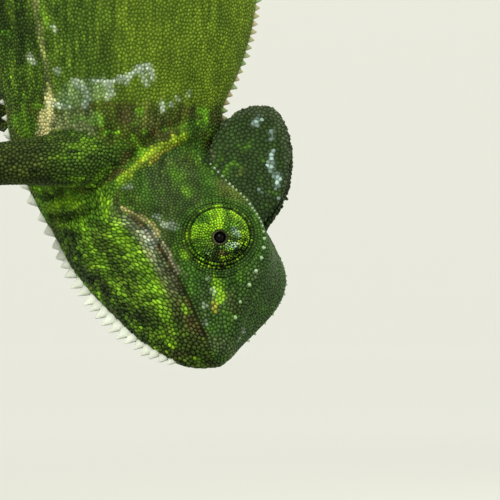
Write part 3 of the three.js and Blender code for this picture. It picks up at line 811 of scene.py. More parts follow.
def folds(places, points):
    """How far each point of the skin moves out along its normal."""
    out = np.zeros(len(points))

    def gap_from(place):
        return np.linalg.norm(places.twin - in_head(place), axis=1)

    body = places.body
    lips = body & (places.behind < LIPS_END)
    out += lips * (0.14 * bump(places.mouth_gap - 0.7, 0.4) - 0.3 * bump(places.mouth_gap, 0.22))

    near_eye = body & (places.eye_out > -2)
    ring, disc = places.eye_radius, places.disc
    front = rise(-places.eye_rear, 0.0, 2.5)
    out += near_eye * (0.3 * bump(ring - 5.5, 0.42) - 0.12 * bump(ring - 6.1, 0.3))
    out -= near_eye * (0.12 + 0.23 * front) * bump(ring - 4.95, 0.2)
    turret = places.named("turret") & (places.eye_out > 0.5)
    out += turret * (-0.34 * bump(disc - DISC["outer"], 0.17) + 0.1 * bump(disc - 4.25, 0.2))
    out -= (turret | near_eye) * 0.2 * bump(disc - SOCKET_GROOVE, 0.14)
    outer_fold, middle_fold, inner_fold = LOWER_GROOVES
    lower_folds = 0.3 * bump(disc - outer_fold, 0.15) + 0.3 * bump(disc - middle_fold, 0.15)
    lower_folds += 0.2 * bump(disc - inner_fold, 0.13)
    out -= turret * front * lower_folds
    out += turret * 0.1 * bump(ring - 1.0, 0.16)

    fold = path_gap(places.side, NAPE_FOLD)
    neck = body & (places.behind > 18)
    out += neck * 0.5 * bump(fold, 0.75)
    behind_fold = path_gap(places.side, np.array(NAPE_FOLD) + [-0.9, 1.25])
    out -= neck * 0.45 * bump(behind_fold, 0.7)
    for line in THROAT_FOLDS:
        out -= body * 0.45 * bump(path_gap(places.side, line), 0.4)

    below = body & (places.over_mouth < 0) & (places.behind < HEAD_REAR)
    pleats = np.cos(places.mouth_gap / 1.35 * 2 * math.pi + 0.8 * noise(points, 5, 11))
    out += below * within(places.jaw_share, 0.42, 0.93, 0.08) * 0.1 * pleats * rise(places.behind, 3, 9)

    nostril = gap_from([-1.5, 4.0, 1.8])
    out += body * (0.12 * bump(nostril - 0.55, 0.2) - 0.4 * bump(nostril, 0.3))
    out -= body * 0.45 * bump(gap_from([-7.2, 4.6, 5.2]), 2.0)  # the hollow before the eye
    out -= body * 0.5 * bump(gap_from([-21.5, 5.0, 6.5]), 3.0)  # the temple
    out += 0.05 * rough(points, 3.5, 3)
    return out


# Markings


def linear(code):
    """A colour written as six hexadecimal digits, as the shaders want it."""
    value = np.array([int(code[k:k + 2], 16) / 255 for k in (0, 2, 4)])
    return np.where(value <= 0.04045, value / 12.92, ((value + 0.055) / 1.055) ** 2.4)


COLOURS = {
    "lime": "86ba1c", "leaf": "5f941b", "spring": "78a51c", "jaw": "64911b", "fern": "3f6a1c",
    "moss": "3b5817", "trunk": "5d7619", "neck": "3e4d13", "nape": "92ae26", "olive": "6f7b30",
    "arm": "303f13", "low": "304617", "dark": "1a2708", "pit": "1c2c0b", "black": "161f0c",
    "shade": "26380e", "umber": "3c230e", "brown": "4a3a22", "loam": "474628", "slate": "55633f",
    "band": "75815c", "haze": "3a4f26", "grey": "6d7a50", "gold": "9e9a62", "yellow": "a8a432",
    "straw": "dcd896", "flank": "848a52", "lip": "9a947a", "pale": "aebfab", "mint": "7f9a64",
    "sage": "7a9c62", "temple": "354a16", "face": "32501b", "chin": "3c4f17", "crown": "35531e",
    "flap": "283d18", "rim": "424f34", "spot": "a9c4c0", "ivory": "d4dacf", "beige": "b0a480",
}
COLOURS = {name: linear(code) for name, code in COLOURS.items()}

# Marks on the right side of the head, neck and trunk: colour, half width, strength, and places along X and Z.
HEAD_MARKS = [
    ["fern", 1.2, 0.75, [[19.5, 91.2], [22.5, 92.0], [24.2, 89.5], [24.7, 85.0]]],
    ["fern", 1.1, 0.6, [[14.2, 88.8], [15.6, 87.2], [16.8, 84.6]]],
    ["haze", 2.2, 0.75, [[18.8, 90.0], [20.8, 87.2], [21.5, 84.8]]],
    ["leaf", 0.75, 0.3, [[19.9, 88.6], [20.8, 87.2], [21.9, 85.8]]],
    ["leaf", 0.22, 0.6, [[20.0, 88.2], [20.5, 87.5]]],
    ["jaw", 0.24, 0.5, [[21.2, 86.3], [21.9, 85.6]]],
    ["leaf", 0.2, 0.5, [[18.2, 86.6], [18.5, 85.7]]],
    ["haze", 1.0, 0.6, [[17.0, 88.0], [18.4, 85.2], [19.2, 82.4]]],
    ["olive", 1.2, 0.35, [[27.0, 86.4], [28.6, 84.8]]],
    ["loam", 0.8, 0.55, [[11.8, 85.4], [12.5, 84.0]]],
    ["gold", 0.3, 0.95, [[13.2, 83.5], [14.3, 82.9], [15.7, 82.2], [16.8, 81.6], [17.6, 80.8], [18.1, 79.9]]],
    ["pale", 0.55, 0.75, [[16.4, 80.5], [17.3, 79.0]]],
    ["haze", 0.5, 0.5, [[18.9, 76.9], [19.6, 75.4]]],
    ["lip", 0.24, 0.8, [[18.7, 78.7], [19.5, 77.3], [20.1, 76.0], [20.6, 75.0]]],
    ["pale", 0.4, 0.45, [[18.7, 81.4], [19.5, 81.2], [20.4, 81.0]]],
    ["pale", 0.28, 0.35, [[17.5, 82.5], [18.2, 82.2]]],
    ["pale", 0.3, 0.45, [[13.7, 86.2], [14.1, 86.3]]],
    ["jaw", 1.25, 0.8,
     [[10.9, 84.6], [11.2, 82.6], [12.6, 80.4], [14.6, 78.0], [16.4, 75.1], [17.9, 72.5], [18.5, 71.0]]],
    ["lime", 0.5, 0.8, [[10.8, 84.4], [11.0, 82.8]]],
    ["lime", 0.45, 0.55, [[12.4, 81.4], [14.0, 78.8]]],
    ["lime", 0.5, 0.5, [[16.8, 75.2], [18.2, 72.6]]],
    ["lime", 0.4, 0.5, [[18.4, 70.6], [18.9, 69.0]]],
    ["pit", 0.4, 0.5, [[17.2, 70.6], [18.0, 68.9]]],
    ["jaw", 0.6, 0.75, [[7.6, 82.6], [8.3, 80.0], [9.6, 77.3], [10.9, 75.4], [12.6, 72.7], [14.4, 70.6]]],
    ["lime", 0.5, 0.6, [[8.7, 76.7], [9.3, 76.2]]],
    ["lime", 0.35, 0.6, [[7.5, 82.0], [8.0, 80.6]]],
    ["lime", 0.35, 0.6, [[14.7, 71.7], [15.5, 70.8]]],
    ["pit", 0.36, 0.8,
     [[10.0, 85.2], [9.9, 82.6], [10.4, 80.0], [11.6, 77.3], [13.2, 74.7], [14.9, 71.8], [16.6, 69.1]]],
    ["pit", 0.32, 0.75, [[8.7, 84.6], [8.7, 82.6], [9.2, 80.4], [10.3, 78.0]]],
    ["pit", 0.3, 0.65, [[12.2, 78.4], [13.9, 76.0], [15.2, 73.6]]],
    ["black", 0.7, 0.75, [[9.6, 74.1], [11.4, 72.6]]],
    ["black", 0.85, 0.75, [[13.8, 71.0], [15.4, 69.4]]],
    ["black", 0.7, 0.65, [[16.6, 68.4], [18.0, 66.8]]],
    ["loam", 0.8, 0.7, [[19.0, 75.0], [20.2, 73.0]]],
    ["loam", 1.1, 0.5, [[20.4, 71.2], [22.2, 69.2], [23.6, 67.2]]],
    ["pit", 0.35, 0.6, [[19.4, 72.0], [20.9, 69.6]]],
    ["jaw", 0.4, 0.6, [[19.2, 69.4], [20.4, 67.4]]],
    ["lime", 0.22, 0.6, [[21.3, 70.6], [22.0, 69.9]]],
    ["umber", 0.5, 0.5, [[22.0, 68.8], [23.2, 67.6]]],
    ["lime", 0.5, 0.5, [[18.7, 66.8], [20.0, 65.8]]],
    ["fern", 0.7, 0.7, [[22.2, 75.6], [22.9, 72.9]]],
    ["lime", 0.4, 0.7, [[21.2, 77.6], [21.5, 77.0]]],
    ["lime", 0.65, 0.75, [[25.7, 74.0], [26.1, 71.8]]],
    ["yellow", 0.28, 0.7, [[25.3, 71.2], [25.5, 70.2]]],
    ["haze", 0.7, 0.6, [[24.0, 74.5], [24.3, 71.0]]],
    ["loam", 0.6, 0.5, [[27.4, 72.4], [28.0, 70.2]]],
    ["fern", 0.5, 0.8, [[24.7, 67.9], [25.3, 66.9]]],
    ["slate", 0.9, 0.6, [[25.3, 66.2], [26.8, 65.4]]],
    ["pale", 0.22, 0.6, [[24.5, 74.3], [24.6, 74.2]]],
    ["pale", 0.26, 0.5, [[25.0, 72.9], [25.3, 72.6]]],
    ["pale", 0.2, 0.6, [[24.1, 70.9], [24.2, 70.8]]],
    ["pale", 0.2, 0.5, [[24.1, 68.7], [24.2, 68.5]]],
    ["pale", 0.25, 0.6, [[28.8, 66.3], [28.9, 66.2]]],
    ["pale", 0.22, 0.5, [[29.1, 67.6], [29.3, 67.3]]],
]
TRUNK_MARKS = [
    ["leaf", 1.4, 0.5, [[-0.5, 95.4], [1.1, 93.8]]],
    ["fern", 1.0, 0.6, [[11.8, 90.0], [13.2, 91.6]]],
    ["fern", 0.9, 0.6, [[22.4, 94.6], [25.0, 94.0]]],
    ["loam", 1.3, 0.5, [[14.4, 95.4], [16.4, 94.4], [18.4, 94.0]]],
    ["brown", 0.45, 0.6, [[17.2, 93.4], [18.2, 93.4]]],
    ["nape", 0.5, 0.9, [[20.9, 93.0], [18.9, 92.0], [16.4, 90.5], [14.8, 88.7], [13.2, 87.2]]],
    ["leaf", 0.6, 0.6, [[13.2, 87.2], [11.0, 86.0], [8.4, 84.8]]],
    ["yellow", 0.17, 0.6, [[20.4, 92.1], [18.3, 90.9], [16.8, 89.3]]],
    ["flank", 0.36, 0.5, [[0.8, 152.0], [0.6, 140.0], [1.4, 122.0]]],
    ["flank", 0.33, 0.7, [[1.4, 122.0], [1.7, 110.9], [2.1, 108.3], [2.8, 104.3], [3.4, 99.7]]],
    ["grey", 1.6, 0.75, [[5.0, 94.4], [7.8, 93.4]]],
    ["grey", 1.1, 0.45, [[7.4, 95.8], [9.4, 95.3]]],
    ["flank", 0.85, 0.95, [[3.5, 98.6], [3.5, 96.2], [3.0, 92.7]]],
    ["straw", 0.75, 0.95, [[3.5, 97.6], [3.1, 94.4], [2.8, 92.4]]],
    ["mint", 1.3, 0.7, [[5.8, 97.9], [7.6, 98.8], [10.6, 99.2]]],
    ["pale", 0.28, 0.85, [[6.9, 100.3], [8.2, 99.2], [8.8, 98.0], [8.3, 96.9]]],
    ["pale", 0.2, 0.5, [[4.6, 97.0], [6.2, 96.8]]],
    ["pale", 0.28, 0.85, [[9.4, 100.3], [11.6, 100.0], [14.2, 100.9], [15.1, 101.8], [16.8, 102.3]]],
    ["pale", 0.24, 0.75, [[11.3, 100.0], [11.8, 98.5], [11.2, 97.9]]],
    ["pale", 0.22, 0.6, [[14.2, 100.8], [13.7, 99.8]]],
    ["pale", 0.24, 0.65, [[15.6, 101.8], [16.4, 99.8]]],
    ["pale", 0.28, 0.7, [[16.8, 102.3], [17.1, 100.6]]],
    ["pale", 0.3, 0.6, [[3.5, 97.4], [4.9, 97.0]]],
    ["pale", 0.26, 0.8, [[18.4, 97.3], [18.5, 96.5]]],
    ["pale", 0.22, 0.7, [[19.5, 97.2], [19.7, 97.1]]],
    ["pale", 0.22, 0.6, [[20.5, 98.0], [20.7, 97.9]]],
    ["pale", 0.2, 0.4, [[21.8, 98.5], [22.1, 98.8]]],
    ["olive", 0.5, 0.45, [[16.4, 97.3], [16.7, 94.9]]],
    ["shade", 1.0, 0.4, [[19.6, 103.4], [19.9, 103.1]]],
    ["shade", 1.0, 0.35, [[10.9, 103.5], [11.2, 103.4]]],
    ["pale", 0.35, 0.45, [[1.1, 103.3], [1.4, 102.7]]],
    ["pale", 0.28, 0.5, [[4.6, 101.7], [4.9, 101.3]]],
    ["pale", 0.28, 0.4, [[4.2, 107.3], [4.5, 106.9]]],
    ["lime", 0.6, 0.6, [[6.6, 88.8], [7.1, 88.0]]],
    ["leaf", 2.2, 0.55, [[2.5, 85.2], [5.5, 84.0], [8.0, 82.8]]],
    ["spring", 0.7, 0.8, [[3.4, 83.6], [5.3, 84.2], [7.4, 83.9]]],
    ["lime", 0.3, 0.7, [[4.2, 84.0], [5.6, 84.3], [7.2, 84.0]]],
    ["lime", 0.3, 0.5, [[4.6, 81.4], [6.2, 81.0]]],
    # Painted shade: these two dark marks follow the throat's folds.
    ["dark", 0.42, 0.8, [[1.1, 85.5], [3.0, 84.9], [5.0, 85.6]]],
    ["dark", 0.42, 0.85, [[3.4, 82.5], [5.8, 82.6], [7.9, 83.3]]],
]
# Marks on the eye's turret, about its own middle: towards the crown and towards the muzzle.
TURRET_MARKS = [
    ["lime", 0.72, 0.95, [[1.4, -3.8], [0.2, -1.4]]],
    ["fern", 0.6, 0.7, [[-1.0, -3.6], [-0.7, -2.6]]],
    ["shade", 0.45, 0.55, [[1.7, -1.6], [2.4, -1.9]]],
    ["spring", 0.8, 0.75, [[2.8, -2.2], [3.8, -0.8]]],
    ["lime", 0.25, 0.7, [[2.3, -2.9], [3.6, -1.6]]],
    ["lime", 0.75, 0.95, [[-3.2, -2.3], [-0.9, -1.3]]],
    ["pit", 0.42, 0.7, [[-3.4, -1.2], [-1.3, 0.2]]],
    ["leaf", 0.6, 0.65, [[-3.4, -0.1], [-1.9, 1.4]]],
    ["sage", 0.32, 0.7, [[-2.3, 1.0], [-2.0, 1.25]]],
    ["pit", 0.4, 0.6, [[1.1, 2.2], [2.0, 1.1]]],
    ["black", 0.66, 0.9, [[-1.5, 1.7], [-0.4, 2.2]]],
    ["brown", 0.28, 0.6, [[-1.1, 1.7], [-0.5, 2.0]]],
    ["lime", 0.25, 0.8, [[-0.8, 2.6], [1.1, 3.0]]],
    ["leaf", 0.25, 0.7, [[-3.3, 1.3], [-2.2, 2.6]]],
    ["pit", 0.28, 0.8, [[-2.2, 2.3], [-0.6, 3.1], [1.4, 3.3], [2.6, 2.6]]],
    ["spring", 0.36, 0.85, [[-3.9, 1.6], [-2.9, 2.7], [-1.9, 3.2]]],
    ["leaf", 0.3, 0.7, [[-0.8, 3.8], [0.8, 4.1], [2.0, 3.7]]],
    ["spring", 0.7, 0.8, [[2.4, 1.6], [3.3, 1.2], [3.5, 0.0]]],
    ["grey", 0.32, 0.5, [[1.2, 0.1], [1.3, 0.7]]],
    ["spot", 0.26, 0.6, [[2.15, -0.25], [2.25, 0.6]]],
    ["spot", 0.34, 0.45, [[0.5, 1.2], [1.45, 1.75]]],
]
# Marks on a neck flap's outer side: along its root from the front, and out towards its rim.
FLAP_MARKS = [
    ["leaf", 0.5, 0.35, [[17.7, 5.1], [17.2, 5.6]]],
    ["leaf", 0.6, 0.4, [[19.8, 2.5], [20.8, 0.6]]],
    ["olive", 0.45, 0.4, [[17.0, 2.0], [16.6, 2.5]]],
    ["haze", 1.6, 0.35, [[21.0, 6.5], [24.0, 6.0]]],
    ["spot", 0.48, 0.75, [[17.2, 8.6], [17.4, 8.6]]],
    ["spot", 0.4, 0.75, [[13.7, 8.2], [13.8, 8.3]]],
    ["spot", 0.48, 0.85, [[11.8, 6.7], [12.0, 6.8]]],
    ["spot", 0.36, 0.85, [[11.2, 5.8], [10.3, 6.6]]],
    ["spot", 0.62, 0.9, [[8.2, 6.9], [7.4, 7.5]]],
    ["spot", 0.22, 0.5, [[9.6, 6.3], [9.0, 6.4]]],
    ["spot", 0.24, 0.45, [[7.5, 4.0], [7.6, 4.0]]],
    ["spot", 0.24, 0.4, [[10.0, 2.7], [10.1, 2.8]]],
    ["spot", 0.26, 0.5, [[4.4, 9.0], [4.5, 9.0]]],
    ["grey", 0.4, 0.5, [[25.9, 5.2], [24.5, 2.1]]],
]


def blend(base, colour, share):
    return base + (COLOURS[colour] - base) * np.clip(share, 0, 1)[:, None]


def mark(colours, where, plane, marks, ragged):
    for colour, width, strength, path in marks:
        share = 1 - rise(path_gap(plane, path) + ragged * min(width, 0.8), width * 0.5, width * 1.5 + 0.12)
        colours = blend(colours, colour, share * where * strength * (0.88 + 0.35 * ragged))
    return colours


def paint(places, points):
    """The colour of the skin and the scales at each point, and how much it varies from scale to scale."""
    count = len(points)
    colour = np.tile(COLOURS["trunk"], (count, 1))
    lively = np.full(count, 0.22)
    body = places.body
    x, z = places.side.T
    ragged = rough(places.twin, 0.9, 21)
    blotch = rough(places.twin, 5.0, 8)
    fleck = rough(places.twin, 1.7, 17)

    def over(name, share):
        nonlocal colour
        colour = blend(colour, name, share)

    # Trunk: olive green above, darker and more broken towards the belly.
    belly = 1 - rise(x + 0.8 * blotch, 0, 6)
    low_side = 1 - rise(x + 1.5 * blotch, 6, 17)
    over("moss", body * (0.75 * low_side + 0.3 * rise(blotch, 0.1, 0.6)))
    over("shade", body * 0.75 * belly * rise(fleck + 0.4 * blotch, -0.4, 0.5))
    over("leaf", body * belly * 0.6 * rise(-fleck, 0.25, 0.7))
    lively = lively + 0.12 * low_side + 0.15 * belly
    neck = body * rise(98.6 + 0.8 * ragged - z, 0, 2.6) * (places.behind > 20)
    over("neck", neck * 0.95)
    over("leaf", neck * 0.8 * rise(fleck + 0.5 * ragged, 0.3, 0.75))
    over("brown", neck * 0.55 * rise(-fleck + 0.5 * ragged, 0.2, 0.8))
    lively = np.where(neck > 0.5, 0.36, lively)

    # Head
    head = body * (1 - rise(places.behind + 0.12 * places.over_mouth, 26.0, 28.0))
    upper = head * (places.over_mouth > 0)
    over("temple", head)
    over("face", upper * (1 - rise(places.behind, 9, 14)))
    over("slate", upper * 0.4 * rise(fleck + 0.5 * ragged, 0.25, 0.8))
    over("leaf", upper * 0.25 * rise(-fleck + 0.5 * ragged, 0.3, 0.8))
    crown = upper * rise(places.head[:, 1] - 0.5 * places.head[:, 2], 6.5, 9.5)
    crown = crown * rise(22 - places.behind, 0, 3)
    over("crown", crown * 0.85)
    lively = np.where(head > 0.5, 0.26, lively)
    lively = np.where(crown > 0.5, 0.2, lively)

    # Lower jaw and throat: bands that follow the line of the mouth.
    lower = places.lower
    gap = places.mouth_gap + 0.3 * ragged
    share = places.jaw_share + 0.03 * ragged + 0.02 * blotch
    rear = rise(places.behind, 5, 10)
    over("chin", lower)
    over("low", lower * rear * rise(share, 0.45, 0.62))
    over("jaw", lower * rear * within(share, 0.24, 0.62, 0.06) * 0.45)
    over("band", lower * rise(places.behind, 7, 11) * within(gap, 0.2, 2.0, 0.3) * 0.85)
    stripe = np.cos(places.mouth_gap / 1.5 * 2 * math.pi + 1.3 * noise(places.twin, 3.5, 4))
    over("dark", lower * within(share, 0.5, 0.97, 0.06) * rise(stripe, 0.1, 0.9) * 0.45)
    throat = lower * within(share, 0.6, 1.2, 0.06)
    over("jaw", throat * rise(fleck + 0.5 * ragged, 0.1, 0.6) * 0.6)
    over("loam", throat * rise(-fleck - 0.5 * ragged, 0.4, 0.9) * 0.5)
    over("lime", lower * (1 - rear) * rise(ragged + 0.4 * fleck, 0.3, 0.8) * 0.45)
    lively = np.where(lower > 0.5, 0.46, lively)

    colour = mark(colour, body, places.side, HEAD_MARKS, ragged)
    colour = mark(colour, body, places.side, TRUNK_MARKS, ragged)
    under = lower * rise(places.behind, 13.0, 15.0) * (places.behind < 23)
    under = under * (1 - rise(places.mouth_gap, 0.34, 0.54))
    over("umber", under * 0.65)
    seam = body * (places.behind < 23)
    over("umber", seam * bump(places.mouth_gap, 0.22) * 0.9)
    socket = body * (places.eye_out > -2)
    over("fern", socket * bump(places.eye_radius - 5.5, 0.5) * 0.5)
    # Painted shade in the groove round the socket.
    over("dark", socket * bump(places.disc - SOCKET_GROOVE, 0.15) * 0.8)

    # Eye turrets
    turret = places.named("turret")
    radius = places.eye_radius
    plane = np.stack([places.eye_crown, -places.eye_rear], axis=1)
    disc = places.disc
    over("leaf", turret)
    over("moss", turret * rise(plane[:, 1] + 0.5 * ragged, -1.2, 0.8) * 0.7)
    below = turret * rise(plane[:, 1], -0.2, 1.0)
    over("black", below * rise(fleck + 0.8 * ragged, 0.0, 0.35) * 0.95)
    over("lime", below * rise(-fleck - 0.8 * ragged, 0.0, 0.4) * 0.8)
    over("lime", turret * 0.3 * rise(fleck, 0.1, 0.7))
    over("moss", turret * rise(disc, 4.0, 4.2) * 0.6)
    colour = mark(colour, turret, plane, TURRET_MARKS, 0.6 * ragged)
    # Painted shade in the turret's grooves and lower folds.
    grooves = bump(disc - DISC["outer"], 0.15) + 0.8 * bump(disc - SOCKET_GROOVE, 0.13)
    outer_fold, middle_fold, inner_fold = LOWER_GROOVES
    lower_folds = bump(disc - outer_fold, 0.14) + bump(disc - middle_fold, 0.14)
    lower_folds += 0.7 * bump(disc - inner_fold, 0.12)
    grooves += rise(plane[:, 1], 0, 2) * lower_folds
    over("dark", turret * grooves * 0.9)
    over("shade", turret * (1 - rise(radius, 0.95, 1.15)))
    lively = np.where(turret, 0.5 + 0.4 * rise(plane[:, 1], -0.5, 1), lively)

    # Neck flaps: a row of pale spots along the rim, and a greyish hem.
    flap = places.named("flap")
    v = places.place[:, 1]
    over("flap", flap)
    inner = flap * (1 - rise(np.abs(v), 0.5, 0.8))
    over("leaf", inner * 0.3 * rise(ragged + 0.6 * blotch, 0.3, 0.9))
    over("rim", flap * rise(np.abs(v) + 0.04 * ragged, 0.8, 0.92) * 0.85)
    colour = mark(colour, flap * (v > 0), places.place * [28, 11], FLAP_MARKS, 0.3 * ragged)
    lively = np.where(flap, 0.16, lively)

    # Legs and tail
    arms = places.named("right_arm", "left_arm")
    shoulder = arms * rise(x + blotch, 2, 8)
    over("arm", arms)
    over("moss", shoulder * 0.8)
    over("jaw", shoulder * 0.85 * rise(fleck + 0.5 * ragged, 0.0, 0.6))
    over("olive", arms * 0.3 * rise(fleck, 0.3, 0.9))
    legs = places.named("right_leg", "left_leg")
    over("moss", legs)
    over("arm", legs * 0.8 * rise(blotch, -0.2, 0.5))
    over("leaf", legs * 0.5 * rise(fleck, 0.3, 0.8))
    tail = places.named("tail")
    band = np.sin(places.place[:, 0] / 7.5 * 2 * math.pi + blotch)
    over("moss", tail * 0.6)
    over("shade", tail * 0.7 * rise(band, 0.1, 0.8))
    over("leaf", tail * 0.4 * rise(fleck - band, 0.4, 1.2))
    lively = np.where(arms | legs | tail, 0.4, lively)

    # Streaks along the scales' lie, the bright ones warmer.
    streak = np.clip(places.flow, -2.2, 2.2) * lively
    colour = colour * np.exp(streak[:, None] * np.array([1.0, 0.85, 0.9]))
    return colour, 0.55 * lively


# Scales


def hollow_shade(places):
    """Painted shade in the hollows between scales: how much of a scale's colour its foot keeps. The painted
    hollows are darkest on the jaw and the turrets.
    """
    trunk = places.body * rise(places.behind, 24, 30)
    temple = places.body * (places.over_mouth > 0) * within(places.behind, 9, 26, 2)
    turret = places.named("turret") * (0.12 + 0.14 * rise(-places.eye_rear, 0.0, 1.0))
    return 0.46 + 0.24 * trunk + 0.1 * temple + 0.14 * places.named("flap") - turret


def zones(places, points):
    """The scales' length along their lie, width, height, and turn from the lie, at each point."""
    count = len(points)
    length, width, height, turn = (np.full(count, v) for v in (0.5, 0.43, 0.085, 0.0))

    def fill(share, values):
        nonlocal length, width, height, turn
        length, width, height, turn = (
            old + (new - old) * share for old, new in zip((length, width, height, turn), values)
        )

    body = places.body
    back = places.behind
    fill(body * rise(places.place[:, 0], 78, 90), (0.54, 0.41, 0.1, 0))
    head = body * (1 - rise(back, 26, 29))
    fill(head, (0.46, 0.41, 0.08, 0))
    face = head * (places.over_mouth > 0) * (1 - rise(back, 8, 14))
    fill(face, (0.5, 0.46, 0.1, 0))
    lower = places.lower
    fill(lower, (0.78, 0.4, 0.13, 0.3))
    lime = lower * within(places.jaw_share, 0.2, 0.66, 0.08) * rise(back, 6, 10)
    fill(lime, (0.92, 0.4, 0.14, 0.35))
    throat = lower * rise(places.jaw_share, 0.66, 0.85) * rise(back, 6, 10)
    fill(throat, (0.68, 0.42, 0.12, 0))
    chin = lower * (1 - rise(back, 5, 9))
    fill(chin, (0.58, 0.52, 0.16, 0))
    flap = places.named("flap")
    fill(flap, (0.62, 0.56, 0.065, 0))
    fill(flap * rise(np.abs(places.place[:, 1]), 0.84, 0.92), (0.5, 0.46, 0.08, 0))
    limbs = places.named(*LIMBS)
    fill(limbs, (0.56, 0.48, 0.12, 0))
    feet = limbs * (points[:, 0] < -17)
    fill(feet, (0.48, 0.44, 0.11, 0))
    tail = places.named("tail")
    fill(tail, (0.62, 0.5, 0.12, 0))
    fill(tail * rise(places.place[:, 0], 60, 130), (0.46, 0.42, 0.09, 0))
    return length, width, height, turn


def lies(places, normals, turn):
    """Two directions on the skin at each point: along the scales' lie, and across it."""
    lie = places.lie.copy()
    lower = places.body & (places.over_mouth < 0) & (places.behind < HEAD_REAR)
    step = 0.3
    slope = np.zeros_like(lie)
    for axis in range(3):
        ahead = places.twin.copy()
        ahead[:, axis] += step
        slope[:, axis] = jaw_share(ahead, path_gap(ahead, MOUTH_PATH)) - places.jaw_share
    slope -= 2 * (places.left * (slope @ HEAD_RIGHT))[:, None] * HEAD_RIGHT
    level = np.cross(unit(slope), normals) * np.where(places.left, -1, 1)[:, None]
    lie[lower] = level[lower]
    lie -= normals * (lie * normals).sum(axis=1, keepdims=True)
    lie = unit(lie)
    across = np.cross(normals, lie)
    cos, sin = np.cos(turn)[:, None], np.sin(turn)[:, None]
    return lie * cos + across * sin, across * cos - lie * sin


class Skin:
    """The finished skin, ready for things to be set on it."""

    def __init__(self, surface, places):
        self.points, self.quads = surface.points, surface.quads
        self.normals = surface.normals()
        self.places = places
        self.cast = bvhtree.BVHTree.FromPolygons(self.points.tolist(), self.quads.tolist())

    def at(self, points):
        """The closest places on the skin: points, normals and facts."""
        found = np.array([self.cast.find_nearest(p)[0] for p in points.tolist()])
        index, weight = nearest_shares(self.points, found, 0.02)
        normals = unit((self.normals[index] * weight[..., None]).sum(axis=1))
        return found, normals, self.places.take(index, weight)

    def hit(self, origins, directions):
        """Where straight lines first meet the skin; those that miss are left out."""
        hits = [self.cast.ray_cast(o, d)[0] for o, d in zip(origins.tolist(), directions.tolist())]
        return np.array([hit for hit in hits if hit is not None])


def lip_rows(skin):
    """A row of beads along each lip, and empty places along the mouth's line between them."""
    rows = []
    run = Path(MOUTH_PATH)
    for side in (1, -1):
        for lift, spacing, built in LIP_ROWS:
            count = int(run.length * 0.97 / spacing)
            line = to_head(run.at((np.arange(count) + 0.5) / count * 0.97 + 0.03)) * [1, 1, side]
            step = np.full(count, float(lift))
            for _ in range(4):
                offset = np.column_stack([0 * step, step, 0.2 * side + 0 * step])
                found, _, _ = skin.at(in_head(line + offset))
                gap = np.linalg.norm(to_head(found) - line, axis=1)
                step = np.clip(step * abs(lift) / np.maximum(gap, 0.05), -0.9, 0.9)
            rows.append((found, LIP_BEAD, built))
    return rows


def turret_rows(skin):
    """Rings of small scales on the eye's turret and round its socket, with empty grooves between."""
    rng = np.random.default_rng(SEED + 3)
    rows = []
    for side in (1, -1):
        centre, gaze, crown, rear = eye_frame(side)
        angle = math.asin(FINE_RINGS["first"] / EYE_RADIUS)
        rings = []
        while EYE_RADIUS * math.sin(angle) < FINE_RINGS["last"]:
            rings.append((EYE_RADIUS * math.sin(angle), FINE_RINGS["pitch"], True, 1))
            angle += FINE_RINGS["step"] / EYE_RADIUS
        rings += [(size, BARE_RINGS["pitch"], False, 1) for size in BARE_RINGS["whole"]]
        rings += [(size, BARE_RINGS["pitch"], False, BARE_RINGS["top"]) for size in BARE_RINGS["lower"]]
        rings += [(size, COARSE_RINGS["pitch"], True, 1) for size in COARSE_RINGS["sizes"]]
        for k, (radius, pitch, built, top) in enumerate(rings):
            around = max(10, round(2 * math.pi * radius / pitch))
            turn = (np.arange(around) + 0.5 * (k % 2)) / around * 2 * math.pi
            turn += 0.16 / radius * pitch * rng.standard_normal(around) * built
            wander = radius + 0.04 * rng.standard_normal(around) * built
            kept = np.sin(turn) < top
            turn, wander = turn[kept], wander[kept]
            toward_crown, toward_rear = disc_place(wander, turn)
            start = centre + gaze * 9 + toward_crown[:, None] * crown + toward_rear[:, None] * rear
            hits = skin.hit(start, np.tile(-gaze, (len(start), 1)))
            near = np.linalg.norm(hits - centre, axis=1) < 7.5
            rows.append((hits[near], (pitch, pitch * 0.92), built))
    return rows


